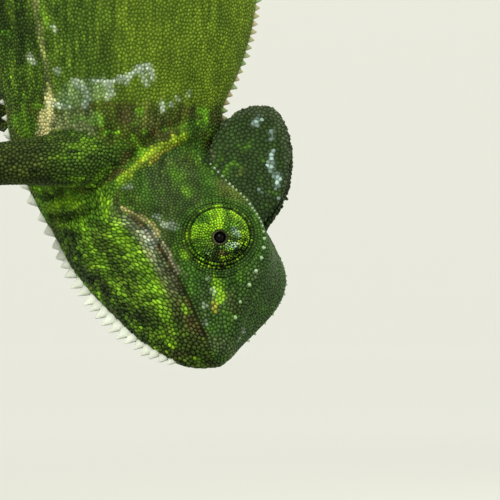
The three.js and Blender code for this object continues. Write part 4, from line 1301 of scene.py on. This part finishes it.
def scatter(skin, fixed, fixed_sizes, rounds=4):
    """Roots of all scales, as far apart as their own sizes ask; those given first stay in place."""
    rng = np.random.default_rng(SEED)
    length, width, _, turn = zones(skin.places, skin.points)
    lie, across = lies(skin.places, skin.normals, turn)
    lie = lie / (length * SCALE_SPREAD)[:, None]
    across = across / (width * SCALE_SPREAD)[:, None]
    reach = np.maximum(length, width) * SCALE_SPREAD

    # Every corner of the skin's mesh may be a root, and a place near the middle of every face.
    share = rng.dirichlet([4, 4, 4, 4], len(skin.quads))

    def with_middles(values):
        columns = values.reshape(len(values), -1)
        middles = (columns[skin.quads] * share[..., None]).sum(axis=1)
        return np.vstack([columns, middles]).reshape(-1, *values.shape[1:])

    points = with_middles(skin.points)
    tree = point_tree(points)
    taken = bytearray(len(points))
    for p, size in zip(fixed.tolist(), fixed_sizes.min(axis=1).tolist()):
        for _, j, _ in tree.find_range(p, size * 0.9):
            taken[j] = 1
    order = rng.permutation(len(points)).tolist()
    facing = with_middles(skin.normals).tolist()
    lie, across, reach = (with_middles(v).tolist() for v in (lie, across, reach))
    places = points.tolist()
    chosen = []
    for i in order:
        if taken[i]:
            continue
        chosen.append(i)
        (x, y, z), (a, b, c), (d, e, f), (g, h, k) = places[i], lie[i], across[i], facing[i]
        for near, j, _ in tree.find_range(places[i], reach[i]):
            if not taken[j]:
                u, v, w = near[0] - x, near[1] - y, near[2] - z
                if (u * a + v * b + w * c) ** 2 + (u * d + v * e + w * f) ** 2 < 1:
                    other = facing[j]
                    if g * other[0] + h * other[1] + k * other[2] > 0:
                        taken[j] = 1
    roots = np.vstack([fixed, points[chosen]])
    held = len(fixed)
    for _ in range(rounds):
        found, normals, places = skin.at(roots)
        length, width, _, turn = zones(places, found)
        length[:held], width[:held] = fixed_sizes.T
        lie, across = lies(places, normals, turn)
        index, _ = nearest(found, found, 8)
        away = found[index[:, 1:]] - found[:, None]
        behind = (normals[index[:, 1:]] * normals[:, None]).sum(axis=2) < 0
        a = (away * lie[:, None]).sum(axis=2) / length[:, None] + 9 * behind
        b = (away * across[:, None]).sum(axis=2) / width[:, None]
        gap = np.maximum(np.hypot(a, b), 0.05)
        push = np.maximum(1.12 - gap, 0) / gap * 0.3
        move = -(push * a).sum(axis=1)[:, None] * lie * length[:, None]
        move -= (push * b).sum(axis=1)[:, None] * across * width[:, None]
        step = np.linalg.norm(move, axis=1, keepdims=True)
        move *= np.minimum(1, 0.25 / np.maximum(step, 1e-9))
        move[:held] = 0
        roots = found + move
    return roots


def triangles_mesh(name, points, triangles, colours, uv, material):
    """A smooth mesh of triangles with a colour for each point and a place on the OFBake map."""
    mesh = bpy.data.meshes.new(name)
    mesh.vertices.add(len(points))
    mesh.vertices.foreach_set("co", (points * MM).astype(np.float32).ravel())
    mesh.loops.add(triangles.size)
    mesh.loops.foreach_set("vertex_index", triangles.astype(np.int32).ravel())
    mesh.polygons.add(len(triangles))
    mesh.polygons.foreach_set("loop_start", np.arange(0, triangles.size, 3, dtype=np.int32))
    mesh.polygons.foreach_set("use_smooth", np.ones(len(triangles), bool))
    mesh.update(calc_edges=True)
    add_tint(mesh, colours)
    layer = mesh.uv_layers.new(name="OFBake")
    layer.uv.foreach_set("vector", uv[triangles.ravel()].astype(np.float32).ravel())
    mesh.materials.append(material)
    obj = bpy.data.objects.new(name, mesh)
    bpy.context.scene.collection.objects.link(obj)
    return obj


def dome_pattern(corners):
    """Triangles of one scale: a top point, an inner ring, an outer ring and a flat underside."""
    inner = 1 + np.arange(corners)
    outer = inner + corners
    next_inner, next_outer = np.roll(inner, -1), np.roll(outer, -1)
    top = np.stack([np.zeros(corners, int), inner, next_inner], axis=1)
    sides = np.vstack([
        np.stack([inner, outer, next_outer], axis=1), np.stack([inner, next_outer, next_inner], axis=1),
    ])
    under = np.stack([np.full(corners - 2, outer[0]), outer[2:], outer[1:-1]], axis=1)
    return np.vstack([top, sides, under])


class Coat:
    """All the scales: where each one grows, its size, and its colour."""

    def __init__(self, skin, roots, held_sizes, held_built):
        rng = np.random.default_rng(SEED + 1)
        held = len(held_sizes)
        self.built = np.concatenate([held_built, np.ones(len(roots) - held, bool)])
        self.found, self.normals, self.places = skin.at(roots)
        self.length, self.width, height, turn = zones(self.places, self.found)
        self.length[:held], self.width[:held] = held_sizes.T
        height[:held] = held_sizes.max(axis=1) * 0.33
        self.height = height * (1 + 0.12 * rng.standard_normal(len(roots)))
        self.lie, self.across = lies(self.places, self.normals, turn)
        base, lively = paint(self.places, self.found)
        value = np.exp(lively * np.clip(rng.standard_normal(len(roots)), -2, 1.6))
        warmth = 1 + 0.14 * lively[:, None] * rng.standard_normal((len(roots), 1)) * np.array([1, 0.2, -1])
        colour = np.maximum(base * value[:, None] * warmth, 0)
        self.colour = colour * np.minimum(1, BRIGHTEST / colour.max(axis=1, keepdims=True))
        # painted shade at each scale's foot, in the hollows between scales
        self.foot_shade = hollow_shade(self.places)
        self.near, _ = nearest(self.found, self.found, 13)

    def reaches(self, chosen, turn):
        """How far each chosen scale reaches in each direction before its neighbours, in its own lengths."""
        near = self.near[chosen, 1:]
        away = self.found[near] - self.found[chosen, None]
        behind = (self.normals[near] * self.normals[chosen, None]).sum(axis=2) < 0
        a = (away * self.lie[chosen, None]).sum(axis=2) / self.length[chosen, None] + 9 * behind
        b = (away * self.across[chosen, None]).sum(axis=2) / self.width[chosen, None]
        square = (a * a + b * b) * np.where(self.built[near], 1, 2 * GROOVE_SHARE)
        reach = np.full((len(chosen), len(turn)), SCALE_REACH)
        for k, angle in enumerate(turn):
            toward = a * math.cos(angle) + b * math.sin(angle)
            limit = np.where(toward > 0.05, square / 2 / np.maximum(toward, 0.05), np.inf)
            reach[:, k] = np.minimum(reach[:, k], limit.min(axis=1))
        return np.maximum(reach, 0.2)

    def solids(self, chosen, corners):
        """Points and colours of the chosen scales, each a low dome that fills its cell."""
        turn = (np.arange(corners) + 0.5) / corners * 2 * math.pi
        reach = self.reaches(chosen, turn)
        found, normals, height, lie, across, length, width, foot_shade, colour = (
            values[chosen, None] for values in (
                self.found, self.normals, self.height, self.lie, self.across, self.length, self.width,
                self.foot_shade, self.colour,
            )
        )

        def ring(share, up):
            a = reach * share * np.cos(turn) * length
            b = reach * share * np.sin(turn) * width
            shrink = 1 - SCALE_GAP / 2 / np.maximum(np.hypot(a, b), 0.1)
            flat = (a * shrink)[..., None] * lie + (b * shrink)[..., None] * across
            return found + flat + up[..., None] * normals

        top = found + normals * height[..., None]
        inner = ring(0.8, height * (0.76 - 0.12 * np.cos(turn)))
        outer = ring(1.0, np.full(reach.shape, -SCALE_SUNK))
        # Painted light on each scale: a painted highlight on its top, and its foot ring darkened as painted
        # shade in the hollows between scales.
        lit = np.tile([TOP_SHADE] + [SIDE_SHADE] * corners, (len(chosen), 1))
        shade = np.concatenate([lit, np.tile(foot_shade, corners)], axis=1)
        colours = colour * shade[..., None]
        return np.concatenate([top, inner, outer], axis=1), colours


def unwrapped(places, chosen):
    """Each chosen scale's place on an unwrap of the part of the skin it grows on, from 0 to 1."""
    sided = places.left[chosen] & ~places.body[chosen]
    sheet = places.part[chosen] * 2 + sided
    place = places.place[chosen].copy()
    sheets = sorted(set(sheet.tolist()))
    for slot, own in enumerate(sheet == k for k in sheets):
        low, high = place[own].min(axis=0), place[own].max(axis=0)
        place[own] = (place[own] - low) / np.maximum(high - low, 1e-6)
        place[own, 0] = (slot + 0.02 + 0.96 * place[own, 0]) / len(sheets)
    return 0.004 + 0.992 * place


def coat_pieces(coat, name, chosen, corners, material):
    """The chosen scales as one or more joined meshes."""
    pattern = dome_pattern(corners)
    chosen = np.flatnonzero(chosen & coat.built)
    pieces = math.ceil(len(chosen) * len(pattern) / MOST_TRIANGLES)
    chosen = chosen[np.argsort(coat.found[chosen, 2], kind="stable")]
    turn = (np.arange(corners) + 0.5) / corners * 2 * math.pi
    circle = np.stack([np.cos(turn), np.sin(turn)], axis=1)
    patch = PATCH * np.vstack([[[0, 0]], 0.5 * circle, circle])
    made = []
    for k, group in enumerate(np.array_split(chosen, pieces)):
        points, colours = coat.solids(group, corners)
        first = np.arange(len(group)) * points.shape[1]
        triangles = (pattern[None] + first[:, None, None]).reshape(-1, 3)
        uv = unwrapped(coat.places, group)[:, None] + patch[None]
        label = name if pieces == 1 else f"{name}_{k + 1}"
        flat = (points.reshape(-1, 3), triangles, colours.reshape(-1, 3), uv.reshape(-1, 2))
        made.append(triangles_mesh(label, *flat, material))
    return made


# Pointed scales: crests, beads and claws


# A cone's rings, foot to tip: height, width and share of its colour, which is painted shade towards the foot
# and a painted highlight at the tip. None is what each cone asks for.
CONE_RINGS = [(None, 1.0, 0.5), (0.0, 1.0, 0.75), (0.35, 0.74, 1.0), (0.72, 0.42, 1.0), (1.0, None, 1.08)]


class Cones:
    """A set of pointed or rounded scales, each on its own root."""

    def __init__(self, sides=10):
        self.sides = sides
        self.points, self.colours, self.uv = [], [], []

    def add(self, root, out, along, height, half_length, half_width, colour, lean=0.0, blunt=0.12, foot=0.3):
        """A cone leaning along, with an oval foot sunk in the skin; blunt is its tip's share of the foot."""
        root = np.asarray(root, float)
        out = unit(np.asarray(out, float))
        along = unit(along - out * np.dot(along, out))
        across = np.cross(out, along)
        turn = full_turn(self.sides)
        oval = np.cos(turn)[:, None] * along * half_length + np.sin(turn)[:, None] * across * half_width
        points, colours = [], []
        # Painted shade darkens the foot and a painted highlight brightens the tip, through the rings' shares
        # and the tip and foot points.
        for up, size, shade in CONE_RINGS:
            lift = -foot if up is None else up * height
            middle = root + out * lift + along * lean * height * (up or 0) ** 1.5
            points.append(middle + oval * (blunt if size is None else size))
            colours.append(np.tile(colour * shade, (self.sides, 1)))
        points.append((root + out * height * 1.04 + along * lean * height)[None])
        colours.append(colour[None] * 1.1)
        points.append((root - out * foot)[None])
        colours.append(colour[None] * 0.5)
        self.points.append(np.vstack(points))
        self.colours.append(np.clip(np.vstack(colours), 0, 0.95))

    def make(self, name, material):
        n = self.sides
        ring = np.arange(n)
        after = (ring + 1) % n
        pattern = []
        for level in range(4):
            a, b = level * n + ring, level * n + after
            pattern += [np.stack([a, b, b + n], axis=1), np.stack([a, b + n, a + n], axis=1)]
        tip, foot = 5 * n, 5 * n + 1
        pattern.append(np.stack([4 * n + ring, 4 * n + after, np.full(n, tip)], axis=1))
        pattern.append(np.stack([after, ring, np.full(n, foot)], axis=1))
        pattern = np.vstack(pattern)
        count = len(self.points)
        triangles = (pattern[None] + (np.arange(count) * (5 * n + 2))[:, None, None]).reshape(-1, 3)
        across = math.ceil(math.sqrt(count))
        spots = np.array([[(k % across + 0.5) / across, (k // across + 0.5) / across] for k in range(count)])
        level = np.repeat([0.0, 0.2, 0.4, 0.6, 0.8, 1.0, 0.0], [n, n, n, n, n, 1, 1])
        turn = np.concatenate([np.tile(ring / n, 5), [0.5, 0.5]])
        local = (np.stack([turn, level], axis=1) - 0.5) * 0.8 / across
        uv = (spots[:, None] + local[None]).reshape(-1, 2)
        return triangles_mesh(name, np.vstack(self.points), triangles, np.vstack(self.colours), uv, material)


def lofted(name, rings, material, closed_ends=True):
    """A piece made of rings of equally many points, closed round, and capped at both ends where asked."""
    rings = np.asarray(rings, float)
    levels, sides, _ = rings.shape
    return make_object(name, rings.reshape(-1, 3), tube_faces(levels, sides, closed_ends), material)


# Materials


class Nodes:
    """Short ways to build a material's node tree."""

    def __init__(self, name):
        self.material = bpy.data.materials.new(name)
        self.material.use_nodes = True
        self.tree = self.material.node_tree
        self.shader = next(n for n in self.tree.nodes if n.type == "BSDF_PRINCIPLED")
        self.texture = self.add("ShaderNodeTexCoord").outputs["Object"]

    def add(self, kind, **settings):
        node = self.tree.nodes.new(kind)
        for key, value in settings.items():
            setattr(node, key, value)
        return node

    def link(self, output, target):
        self.tree.links.new(output, target)

    def set(self, **values):
        for key, value in values.items():
            self.shader.inputs[key.replace("_", " ")].default_value = value

    def feed(self, colour, roughness):
        self.link(colour, self.shader.inputs["Base Color"])
        self.link(roughness, self.shader.inputs["Roughness"])

    def noise(self, scale, detail=4, rough=0.55, stretch=None, distort=0.0):
        node = self.add("ShaderNodeTexNoise")
        node.inputs["Scale"].default_value = scale
        node.inputs["Detail"].default_value = detail
        node.inputs["Roughness"].default_value = rough
        node.inputs["Distortion"].default_value = distort
        where = self.texture
        if stretch:
            mapping = self.add("ShaderNodeMapping")
            mapping.inputs["Scale"].default_value = stretch
            self.link(where, mapping.inputs["Vector"])
            where = mapping.outputs["Vector"]
        self.link(where, node.inputs["Vector"])
        return node.outputs["Fac"]

    def ramp(self, value, stops):
        node = self.add("ShaderNodeValToRGB")
        node.color_ramp.elements[0].position = stops[0][0]
        node.color_ramp.elements[1].position = stops[-1][0]
        for place, _ in stops[1:-1]:
            node.color_ramp.elements.new(place)
        for element, (_, colour) in zip(node.color_ramp.elements, stops):
            shade = (colour,) * 3 if np.isscalar(colour) else tuple(colour)
            element.color = (*shade, 1)
        self.link(value, node.inputs["Fac"])
        return node.outputs["Color"]

    def mix(self, a, b, share=1.0, blend="MIX"):
        node = self.add("ShaderNodeMix", data_type="RGBA", blend_type=blend)
        for source, socket in ((share, node.inputs[0]), (a, node.inputs[6]), (b, node.inputs[7])):
            if isinstance(source, bpy.types.NodeSocket):
                self.link(source, socket)
            elif np.isscalar(source):
                socket.default_value = source
            else:
                socket.default_value = (*source, 1)
        return node.outputs[2]

    def span(self, value, low, high):
        node = self.add("ShaderNodeMapRange")
        node.inputs["To Min"].default_value = low
        node.inputs["To Max"].default_value = high
        self.link(value, node.inputs["Value"])
        return node.outputs["Result"]

    def bumped(self, height, strength, distance):
        node = self.add("ShaderNodeBump")
        node.inputs["Strength"].default_value = strength
        node.inputs["Distance"].default_value = distance
        self.link(height, node.inputs["Height"])
        self.link(node.outputs["Normal"], self.shader.inputs["Normal"])


def tinted_material(name, roughness, specular, mottle=0.16, grain=2200):
    """A surface that takes its markings, with the painted highlights and painted shade mixed into them, from
    the mesh's own Tint, with fine mottling and grain.
    """
    nodes = Nodes(name)
    tint = nodes.add("ShaderNodeVertexColor", layer_name="Tint").outputs["Color"]
    fine = nodes.noise(grain, detail=3)
    patches = nodes.ramp(nodes.noise(grain / 3.5, detail=3), [(0.3, 1 - mottle), (0.7, 1 + mottle)])
    colour = nodes.mix(tint, patches, 1.0, "MULTIPLY")
    nodes.feed(colour, nodes.span(fine, roughness - 0.1, roughness + 0.14))
    nodes.set(Specular_IOR_Level=specular)
    nodes.bumped(fine, 0.5, 0.00004)
    return nodes.material


def eye_material():
    """Wet black, with a trace of brown in it."""
    nodes = Nodes("eye")
    depth = nodes.noise(1400, detail=3)
    colour = nodes.ramp(depth, [(0.35, (0.001, 0.001, 0.0018)), (0.7, (0.0035, 0.0024, 0.0016))])
    nodes.feed(colour, nodes.span(depth, 0.06, 0.1))
    nodes.set(Specular_IOR_Level=0.07)
    return nodes.material


def bark_material():
    nodes = Nodes("bark")
    grain = nodes.noise(900, detail=6, stretch=(1, 1, 0.14))
    patches = nodes.noise(60, detail=4)
    browns = [(0.3, (0.022, 0.016, 0.010)), (0.52, (0.085, 0.062, 0.040)), (0.75, (0.17, 0.135, 0.095))]
    base = nodes.ramp(grain, browns)
    lichen = nodes.ramp(patches, [(0.5, 0.0), (0.66, 0.55)])
    colour = nodes.mix(base, (0.11, 0.125, 0.075), lichen)
    nodes.feed(colour, nodes.span(grain, 0.95, 0.72))
    nodes.set(Specular_IOR_Level=0.25)
    nodes.bumped(grain, 0.7, 0.0003)
    return nodes.material


def base_material():
    nodes = Nodes("stained_wood")
    grain = nodes.noise(520, detail=5, stretch=(0.05, 1, 1), distort=0.6)
    rings = nodes.noise(90, detail=3, stretch=(0.1, 1, 1))
    colour = nodes.ramp(grain, [(0.3, (0.014, 0.008, 0.005)), (0.7, (0.05, 0.028, 0.016))])
    colour = nodes.mix(colour, nodes.ramp(rings, [(0.35, 0.6), (0.65, 1.25)]), 1.0, "MULTIPLY")
    nodes.feed(colour, nodes.span(grain, 0.36, 0.5))
    nodes.set(Coat_Weight=0.25, Coat_Roughness=0.3)
    nodes.bumped(grain, 0.25, 0.00006)
    return nodes.material


def rod_material():
    nodes = Nodes("brushed_steel")
    brush = nodes.noise(5000, detail=3, stretch=(1, 1, 0.02))
    nodes.feed(nodes.ramp(brush, [(0.3, 0.5), (0.7, 0.62)]), nodes.span(brush, 0.24, 0.4))
    nodes.set(Metallic=1.0)
    nodes.bumped(brush, 0.2, 0.00002)
    return nodes.material


def stage_material():
    """Matt and pale; it glows softly away from the model, where the lamps no longer reach it."""
    nodes = Nodes("studio")
    nodes.set(Base_Color=(0.62, 0.63, 0.59, 1), Roughness=0.9, Specular_IOR_Level=0.2)
    nodes.set(Emission_Color=(1, 1, 0.92, 1))
    away = nodes.add("ShaderNodeVectorMath", operation="LENGTH")
    nodes.link(nodes.texture, away.inputs[0])
    glow = nodes.add("ShaderNodeMapRange", interpolation_type="SMOOTHSTEP")
    for socket, value in (("From Min", 0.1), ("From Max", 1.2), ("To Min", 0), ("To Max", 0.34)):
        glow.inputs[socket].default_value = value
    nodes.link(away.outputs["Value"], glow.inputs["Value"])
    nodes.link(glow.outputs["Result"], nodes.shader.inputs["Emission Strength"])
    return nodes.material


# Pieces


def dressed_skin():
    form = flesh(-COAT_DEPTH)
    surface = Surface(*remeshed(form, VOXEL))
    surface.smooth(4)
    places = form_places(form, surface.points)
    joined = places.named("turret", "flap")
    parts = np.where(joined, 0, places.part + 1.0)
    seam = np.abs(surface.average(parts) - parts) * (parts > 0) * (surface.average(joined * 1.0) == 0)
    seam = (seam > 0) * 1.0
    for _ in range(SEAM_REACH):
        seam = np.maximum(seam, surface.average(seam) * 1.35)
    surface.smooth(SEAM_ROUNDS, np.clip(seam, 0, 1) * (1 - joined) * (surface.points[:, 0] > -15))
    normals = surface.normals()
    places.flow = surface.flow(lies(places, normals, zones(places, surface.points)[3])[0], SEED, FLOW_ROUNDS)
    surface.points = surface.points + normals * folds(places, surface.points)[:, None]
    return Skin(surface, places)


def add_skin(skin, material):
    obj = make_object("skin", skin.points, skin.quads.tolist(), material)
    colours, _ = paint(skin.places, skin.points)
    # The skin shows in the gaps between the scales; its colour is darkened below theirs as painted shade in
    # those gaps.
    add_tint(obj.data, colours * (hollow_shade(skin.places)[:, None] - 0.14))
    flesh_nodes = [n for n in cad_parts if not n.startswith(("stand_", "perch")) and n not in EYES]
    settle(obj, "skin", *flesh_nodes)


# The coat's pieces: name, slot, corners to each scale, and which scales.
REGIONS = [
    ("head_scales", "skin", 8, lambda p: p.body & (p.behind < HEAD_REAR) & (p.over_mouth >= 0)),
    ("jaw_scales", "skin", 8, lambda p: p.body & (p.behind < HEAD_REAR) & (p.over_mouth < 0)),
    ("turret_scales", "skin", 7, lambda p: p.named("turret")),
    ("flap_scales", "flap", 8, lambda p: p.named("flap")),
    ("body_scales", "skin", 6, lambda p: p.body & (p.behind >= HEAD_REAR)),
    ("arm_scales", "skin", 6, lambda p: p.named("right_arm", "left_arm")),
    ("leg_scales", "skin", 6, lambda p: p.named("right_leg", "left_leg")),
    ("tail_scales", "skin", 6, lambda p: p.named("tail")),
]


def add_coat(skin, material):
    rows = turret_rows(skin) + lip_rows(skin)
    fixed = np.vstack([points for points, _, _ in rows])
    sizes = np.vstack([np.tile(size, (len(points), 1)) for points, size, _ in rows])
    built = np.concatenate([np.full(len(points), kept) for points, _, kept in rows])
    roots = scatter(skin, fixed, sizes)
    coat = Coat(skin, roots, sizes, built)
    for name, slot, corners, chosen in REGIONS:
        for piece in coat_pieces(coat, name, chosen(coat.places), corners, material):
            settle(piece, slot)


def ridge_line(at, where):
    """Points on the skin's upper or lower midline, with directions outward and along the line."""
    rings = [body_ring(d, -COAT_DEPTH) for d in at]
    middle = np.array([axis_point(d) for d in at])
    points = np.array([ring[where] for ring in rings])
    run = unit(np.gradient(points, axis=0))
    out = points - middle
    return points, unit(out - run * (out * run).sum(axis=1, keepdims=True)), run


def add_crests(skin, material):
    rng = np.random.default_rng(SEED + 2)
    ivory = COLOURS["ivory"]

    gular = Cones(14)
    at = [BODY_END - 3.4]
    while at[-1] > 84:
        gone = BODY_END - at[-1]
        at.append(at[-1] - (1.14 + 0.36 * rise(gone, 4, 16)) * (1 + 0.1 * rng.standard_normal()))
    for d, root, up, along_keel in zip(at, *ridge_line(at, SIDES // 2)):
        gone = (BODY_END - 14 - d) / 12
        size = (1 + 0.09 * rng.standard_normal()) * (0.62 + 0.38 * rise(BODY_END - d, 2, 9))
        tall = max(1.9 - 0.9 * gone * gone, 1.0) * size
        shade = ivory * (1 + 0.05 * rng.standard_normal())
        foot_size = (1.02 * size, 0.72 * size)
        gular.add(root, up, along_keel, tall, *foot_size, shade, lean=0.17, foot=0.35, blunt=0.13)
    for root, up, along_keel in zip(*ridge_line(np.arange(84, 12, -1.9), SIDES // 2)):
        tall = 0.7 * (1 + 0.1 * rng.standard_normal())
        gular.add(root, up, along_keel, tall, 0.5, 0.4, ivory * 0.75, lean=0.2)
    throat = gular.make("throat_crest", material)

    dorsal = Cones(12)
    at = np.arange(1.5, 95, 1.05)
    for d, root, up, along_back in zip(at, *ridge_line(at, 0)):
        tall = (0.5 + 0.3 * math.sin(math.pi * min(d, 92) / 92)) * (1 + 0.12 * rng.standard_normal())
        colour = COLOURS["beige"] + (COLOURS["sage"] - COLOURS["beige"]) * rng.random()
        dorsal.add(root, up, -along_back, tall, 0.5, 0.42, colour, lean=0.1, foot=0.3, blunt=0.2)
    back_crest = dorsal.make("back_crest", material)

    head = Cones(10)
    for side in (1, -1):
        b = 3.2
        while b < 26:
            ridge_up, ridge = along(HEAD, min(b, HEAD_LENGTH))[0][:2]
            lift = in_head([-b, ridge_up + 1, side * (ridge + 1.6)])
            below = in_head([-b, ridge_up - 2, side * (ridge - 1)])
            root, normal, _, _ = skin.cast.ray_cast(lift.tolist(), unit(below - lift).tolist())
            size = (0.85 + 0.3 * rng.random()) * (1 - 0.25 * rise(b, 9, 14))
            pale = COLOURS["sage"] + (COLOURS["pale"] - COLOURS["sage"]) * (0.2 + 0.6 * rng.random())
            bead = (0.34 * size, 0.3 * size, 0.27 * size)
            head.add(root, normal, -HEAD_FORWARD, *bead, pale, foot=0.25, blunt=0.3)
            b += (0.95 + 0.4 * rng.random()) * (1 - 0.35 * rise(b, 9, 14))
    helmet = head.make("head_crest", material)
    for piece in (throat, back_crest, helmet):
        settle(piece, "skin")


def add_eyes(eye_mat, lid_mat):
    lids = Cones(10)
    for side, name in ((1, "right_eye"), (-1, "left_eye")):
        centre, gaze, crown, rear = eye_frame(side)
        middle = centre + gaze * (EYE_RADIUS - 0.15 - EYE_BALL)
        angles = np.linspace(-math.pi / 2, math.pi / 2, 22)
        turn = full_turn(36)
        spoke = np.cos(turn)[:, None] * crown + np.sin(turn)[:, None] * rear * side
        rings = [
            middle + gaze * EYE_BALL * math.sin(a) + spoke * EYE_BALL * max(math.cos(a), 0.01) for a in angles
        ]
        ball = lofted(f"{name}ball", rings, eye_mat)
        settle(ball, "eye", name)
        for row, (radius, count, size) in enumerate(LID_ROWS):
            for k in range(count):
                angle = (k + 0.5 * row) / count * 2 * math.pi
                below, behind = -math.cos(angle), math.sin(angle)
                outward = math.cos(angle) * crown + math.sin(angle) * rear * side
                root = centre + gaze * (math.sqrt(EYE_RADIUS**2 - radius**2) - 0.14) + outward * radius
                up = unit(gaze + outward * (0.1 + 0.35 * row))
                pale = 0.1 + 0.4 * rise(below + 0.3 * abs(behind), -0.4, 0.9) if row == 0 else 0.04
                colour = COLOURS["shade"] + (COLOURS["beige"] - COLOURS["shade"]) * pale
                lids.add(root, up, outward, 0.1, size * 0.95, size, colour, foot=0.15, blunt=0.35)
    settle(lids.make("eyelid_granules", lid_mat), "skin")


def add_claws(material):
    claws = Cones(10)
    horn = linear("6b6248")
    for spec in LIMBS.values():
        for toe in toe_paths(spec, limb_angle(spec)):
            tip = toe.at(np.array([1.0]))[0]
            ahead = toe.forward(np.array([1.0]))[0]
            centre = perch_centre(tip[2])
            inward = unit(centre - tip)
            root = tip - ahead * 0.35
            out = unit(ahead + 0.1 * inward)
            claws.add(root, out, inward, TOE["claw"] + 0.35, 0.5, 0.42, horn, lean=0.28)
    settle(claws.make("claws", material), "skin")


def add_perch(material):
    levels = np.linspace(PERCH["bottom"], PERCH["top"], 420)
    turn = full_turn(96)
    angle, z = np.meshgrid(turn, levels)
    radius = PERCH["radius"] + 0.22 * np.sin(3 * angle + z / 23)
    for k, knot in enumerate(KNOTS):
        radius = radius + np.exp(-(((z - knot) / 5) ** 2)) * (0.5 + 0.35 * np.cos(angle - 1.9 * k))
    spots = np.stack([np.cos(angle) * 4.8, np.sin(angle) * 4.8, z * 0.16], axis=-1).reshape(-1, 3)
    ridges = np.abs(noise(spots, 0.85, 31)).reshape(angle.shape)
    coarse = rough(spots, 2.4, 33).reshape(angle.shape)
    radius = radius - 0.3 + 0.32 * np.clip(ridges * 1.6, 0, 1) + 0.1 * coarse - 0.05
    ends = np.minimum(levels - PERCH["bottom"], PERCH["top"] - levels)
    radius = radius * (1 - 0.06 * (1 - rise(ends, 0, 0.7)))[:, None]
    spoke = np.stack([np.cos(angle), np.sin(angle), np.zeros_like(angle)], axis=-1)
    rings = perch_centre(levels)[:, None] + radius[..., None] * spoke
    settle(lofted("branch", rings, material), "bark", "perch")


BASE = {"long": 112, "wide": 88, "high": 8, "corner": 14, "bevel": 1.6}
ROD = {"radius": 2.5, "sunk": 9}


def add_stand(base_mat, rod_mat):
    rings = []
    corner = np.linspace(0, math.pi / 2, 13)
    half_x, half_y = BASE["long"] / 2 - BASE["corner"], BASE["wide"] / 2 - BASE["corner"]
    outline = []
    for quarter, (sx, sy) in enumerate(((1, 1), (-1, 1), (-1, -1), (1, -1))):
        a = corner + quarter * math.pi / 2
        outline.append(np.stack([sx * half_x + 0 * a, sy * half_y + 0 * a, np.cos(a), np.sin(a)], axis=1))
    outline = np.vstack(outline)
    profile = [(0.5, 0.0), (0.15, 0.15), (0.0, 0.5)]
    bevel = BASE["bevel"]
    for step in np.linspace(0, math.pi / 2, 7):
        profile.append((bevel * (1 - math.cos(step)), BASE["high"] - bevel * (1 - math.sin(step))))
    for inward in (3, 6.5, 13.9):
        profile.append((inward, BASE["high"]))
    for inward, z in profile:
        radius = BASE["corner"] - inward
        ring = outline[:, :2] + outline[:, 2:] * radius
        rings.append(np.column_stack([ring, np.full(len(ring), z)]))
    settle(lofted("display_base", rings, base_mat), "base", "stand_base")

    centre = perch_centre(PERCH["bottom"])
    turn = full_turn(48)
    circle = np.stack([np.cos(turn), np.sin(turn), 0 * turn], axis=1)
    low, high = BASE["high"] + 0.3, PERCH["bottom"] + ROD["sunk"]
    profile = [(ROD["radius"] - 0.3, low), (ROD["radius"], low + 0.3), (ROD["radius"], 0.5 * (low + high))]
    profile += [(ROD["radius"], high - 0.3), (ROD["radius"] - 0.3, high)]
    rings = [circle * radius + [centre[0], centre[1], z] for radius, z in profile]
    settle(lofted("display_rod", rings, rod_mat), "rod", "stand_rod")


# Stage, lights and camera

FLOOR = {"flat": 2400, "bend": 500, "wall": 900}


def add_stage(material):
    """A pale round floor that curves up into a low wall, wider than any view's camera stands off."""
    flat, bend, wall = FLOOR["flat"], FLOOR["bend"], FLOOR["wall"]
    profile = [(1, 0), (flat, 0)]
    turned = np.linspace(0.15, math.pi / 2, 9)
    profile += [(flat + bend * math.sin(a), bend * (1 - math.cos(a))) for a in turned]
    profile += [(flat + bend, wall)]
    turn = full_turn(72)
    circle = np.stack([np.cos(turn), np.sin(turn)], axis=1)
    rings = [np.column_stack([circle * radius, np.full(len(turn), z)]) for radius, z in profile]
    lofted("studio_floor", rings, material, closed_ends=False)


# Lights: name, place, size, power and colour. They point at the animal's middle.
LIGHTS = [
    ("key", (-0.12, -0.45, 0.55), 0.35, 3.85, (1, 0.99, 0.88)),
    ("fill", (0.9, -0.75, 0.5), 0.7, 1.8, (1, 1, 0.92)),
    ("back", (0.3, 0.5, 0.5), 0.5, 1.75, (1, 1, 0.9)),
]
LIT_PLACE = (0.02, 0, 0.09)
AROUND = {"colour": (1, 1, 0.92, 1), "strength": 0.68}
CAMERA = {"place": (0.030, -0.508, 0.078), "lens": 273.6, "sensor": 36}


def add_light(name, place, size, power, colour):
    light = bpy.data.lights.new(name, "AREA")
    light.shape = "DISK"
    light.size = size
    light.energy = power
    light.color = colour
    obj = bpy.data.objects.new(name, light)
    obj.location = place
    obj.rotation_euler = (Vector(LIT_PLACE) - Vector(place)).to_track_quat("-Z", "Y").to_euler()
    bpy.context.scene.collection.objects.link(obj)


def add_lights():
    for light in LIGHTS:
        add_light(*light)
    world = bpy.data.worlds.new("studio_world")
    world.use_nodes = True
    background = world.node_tree.nodes["Background"]
    background.inputs["Color"].default_value = AROUND["colour"]
    background.inputs["Strength"].default_value = AROUND["strength"]
    bpy.context.scene.world = world


def add_camera():
    camera = bpy.data.cameras.new("camera")
    camera.sensor_width = CAMERA["sensor"]
    camera.lens = CAMERA["lens"]
    camera.clip_start = 0.01
    obj = bpy.data.objects.new("camera", camera)
    obj.location = CAMERA["place"]
    obj.rotation_euler = (math.pi / 2, 0, 0)
    bpy.context.scene.collection.objects.link(obj)
    bpy.context.scene.camera = obj
    bpy.context.scene.view_settings.view_transform = "Standard"


skin = dressed_skin()
add_skin(skin, tinted_material("skin", 0.75, specular=0.08, grain=3000))
add_coat(skin, tinted_material("scales", 0.5, specular=0.16))
crest = tinted_material("crest", 0.48, specular=0.4, mottle=0.1)
add_crests(skin, crest)
add_claws(crest)
add_eyes(eye_material(), crest)
add_perch(bark_material())
add_stand(base_material(), rod_material())
add_stage(stage_material())
add_lights()
add_camera()
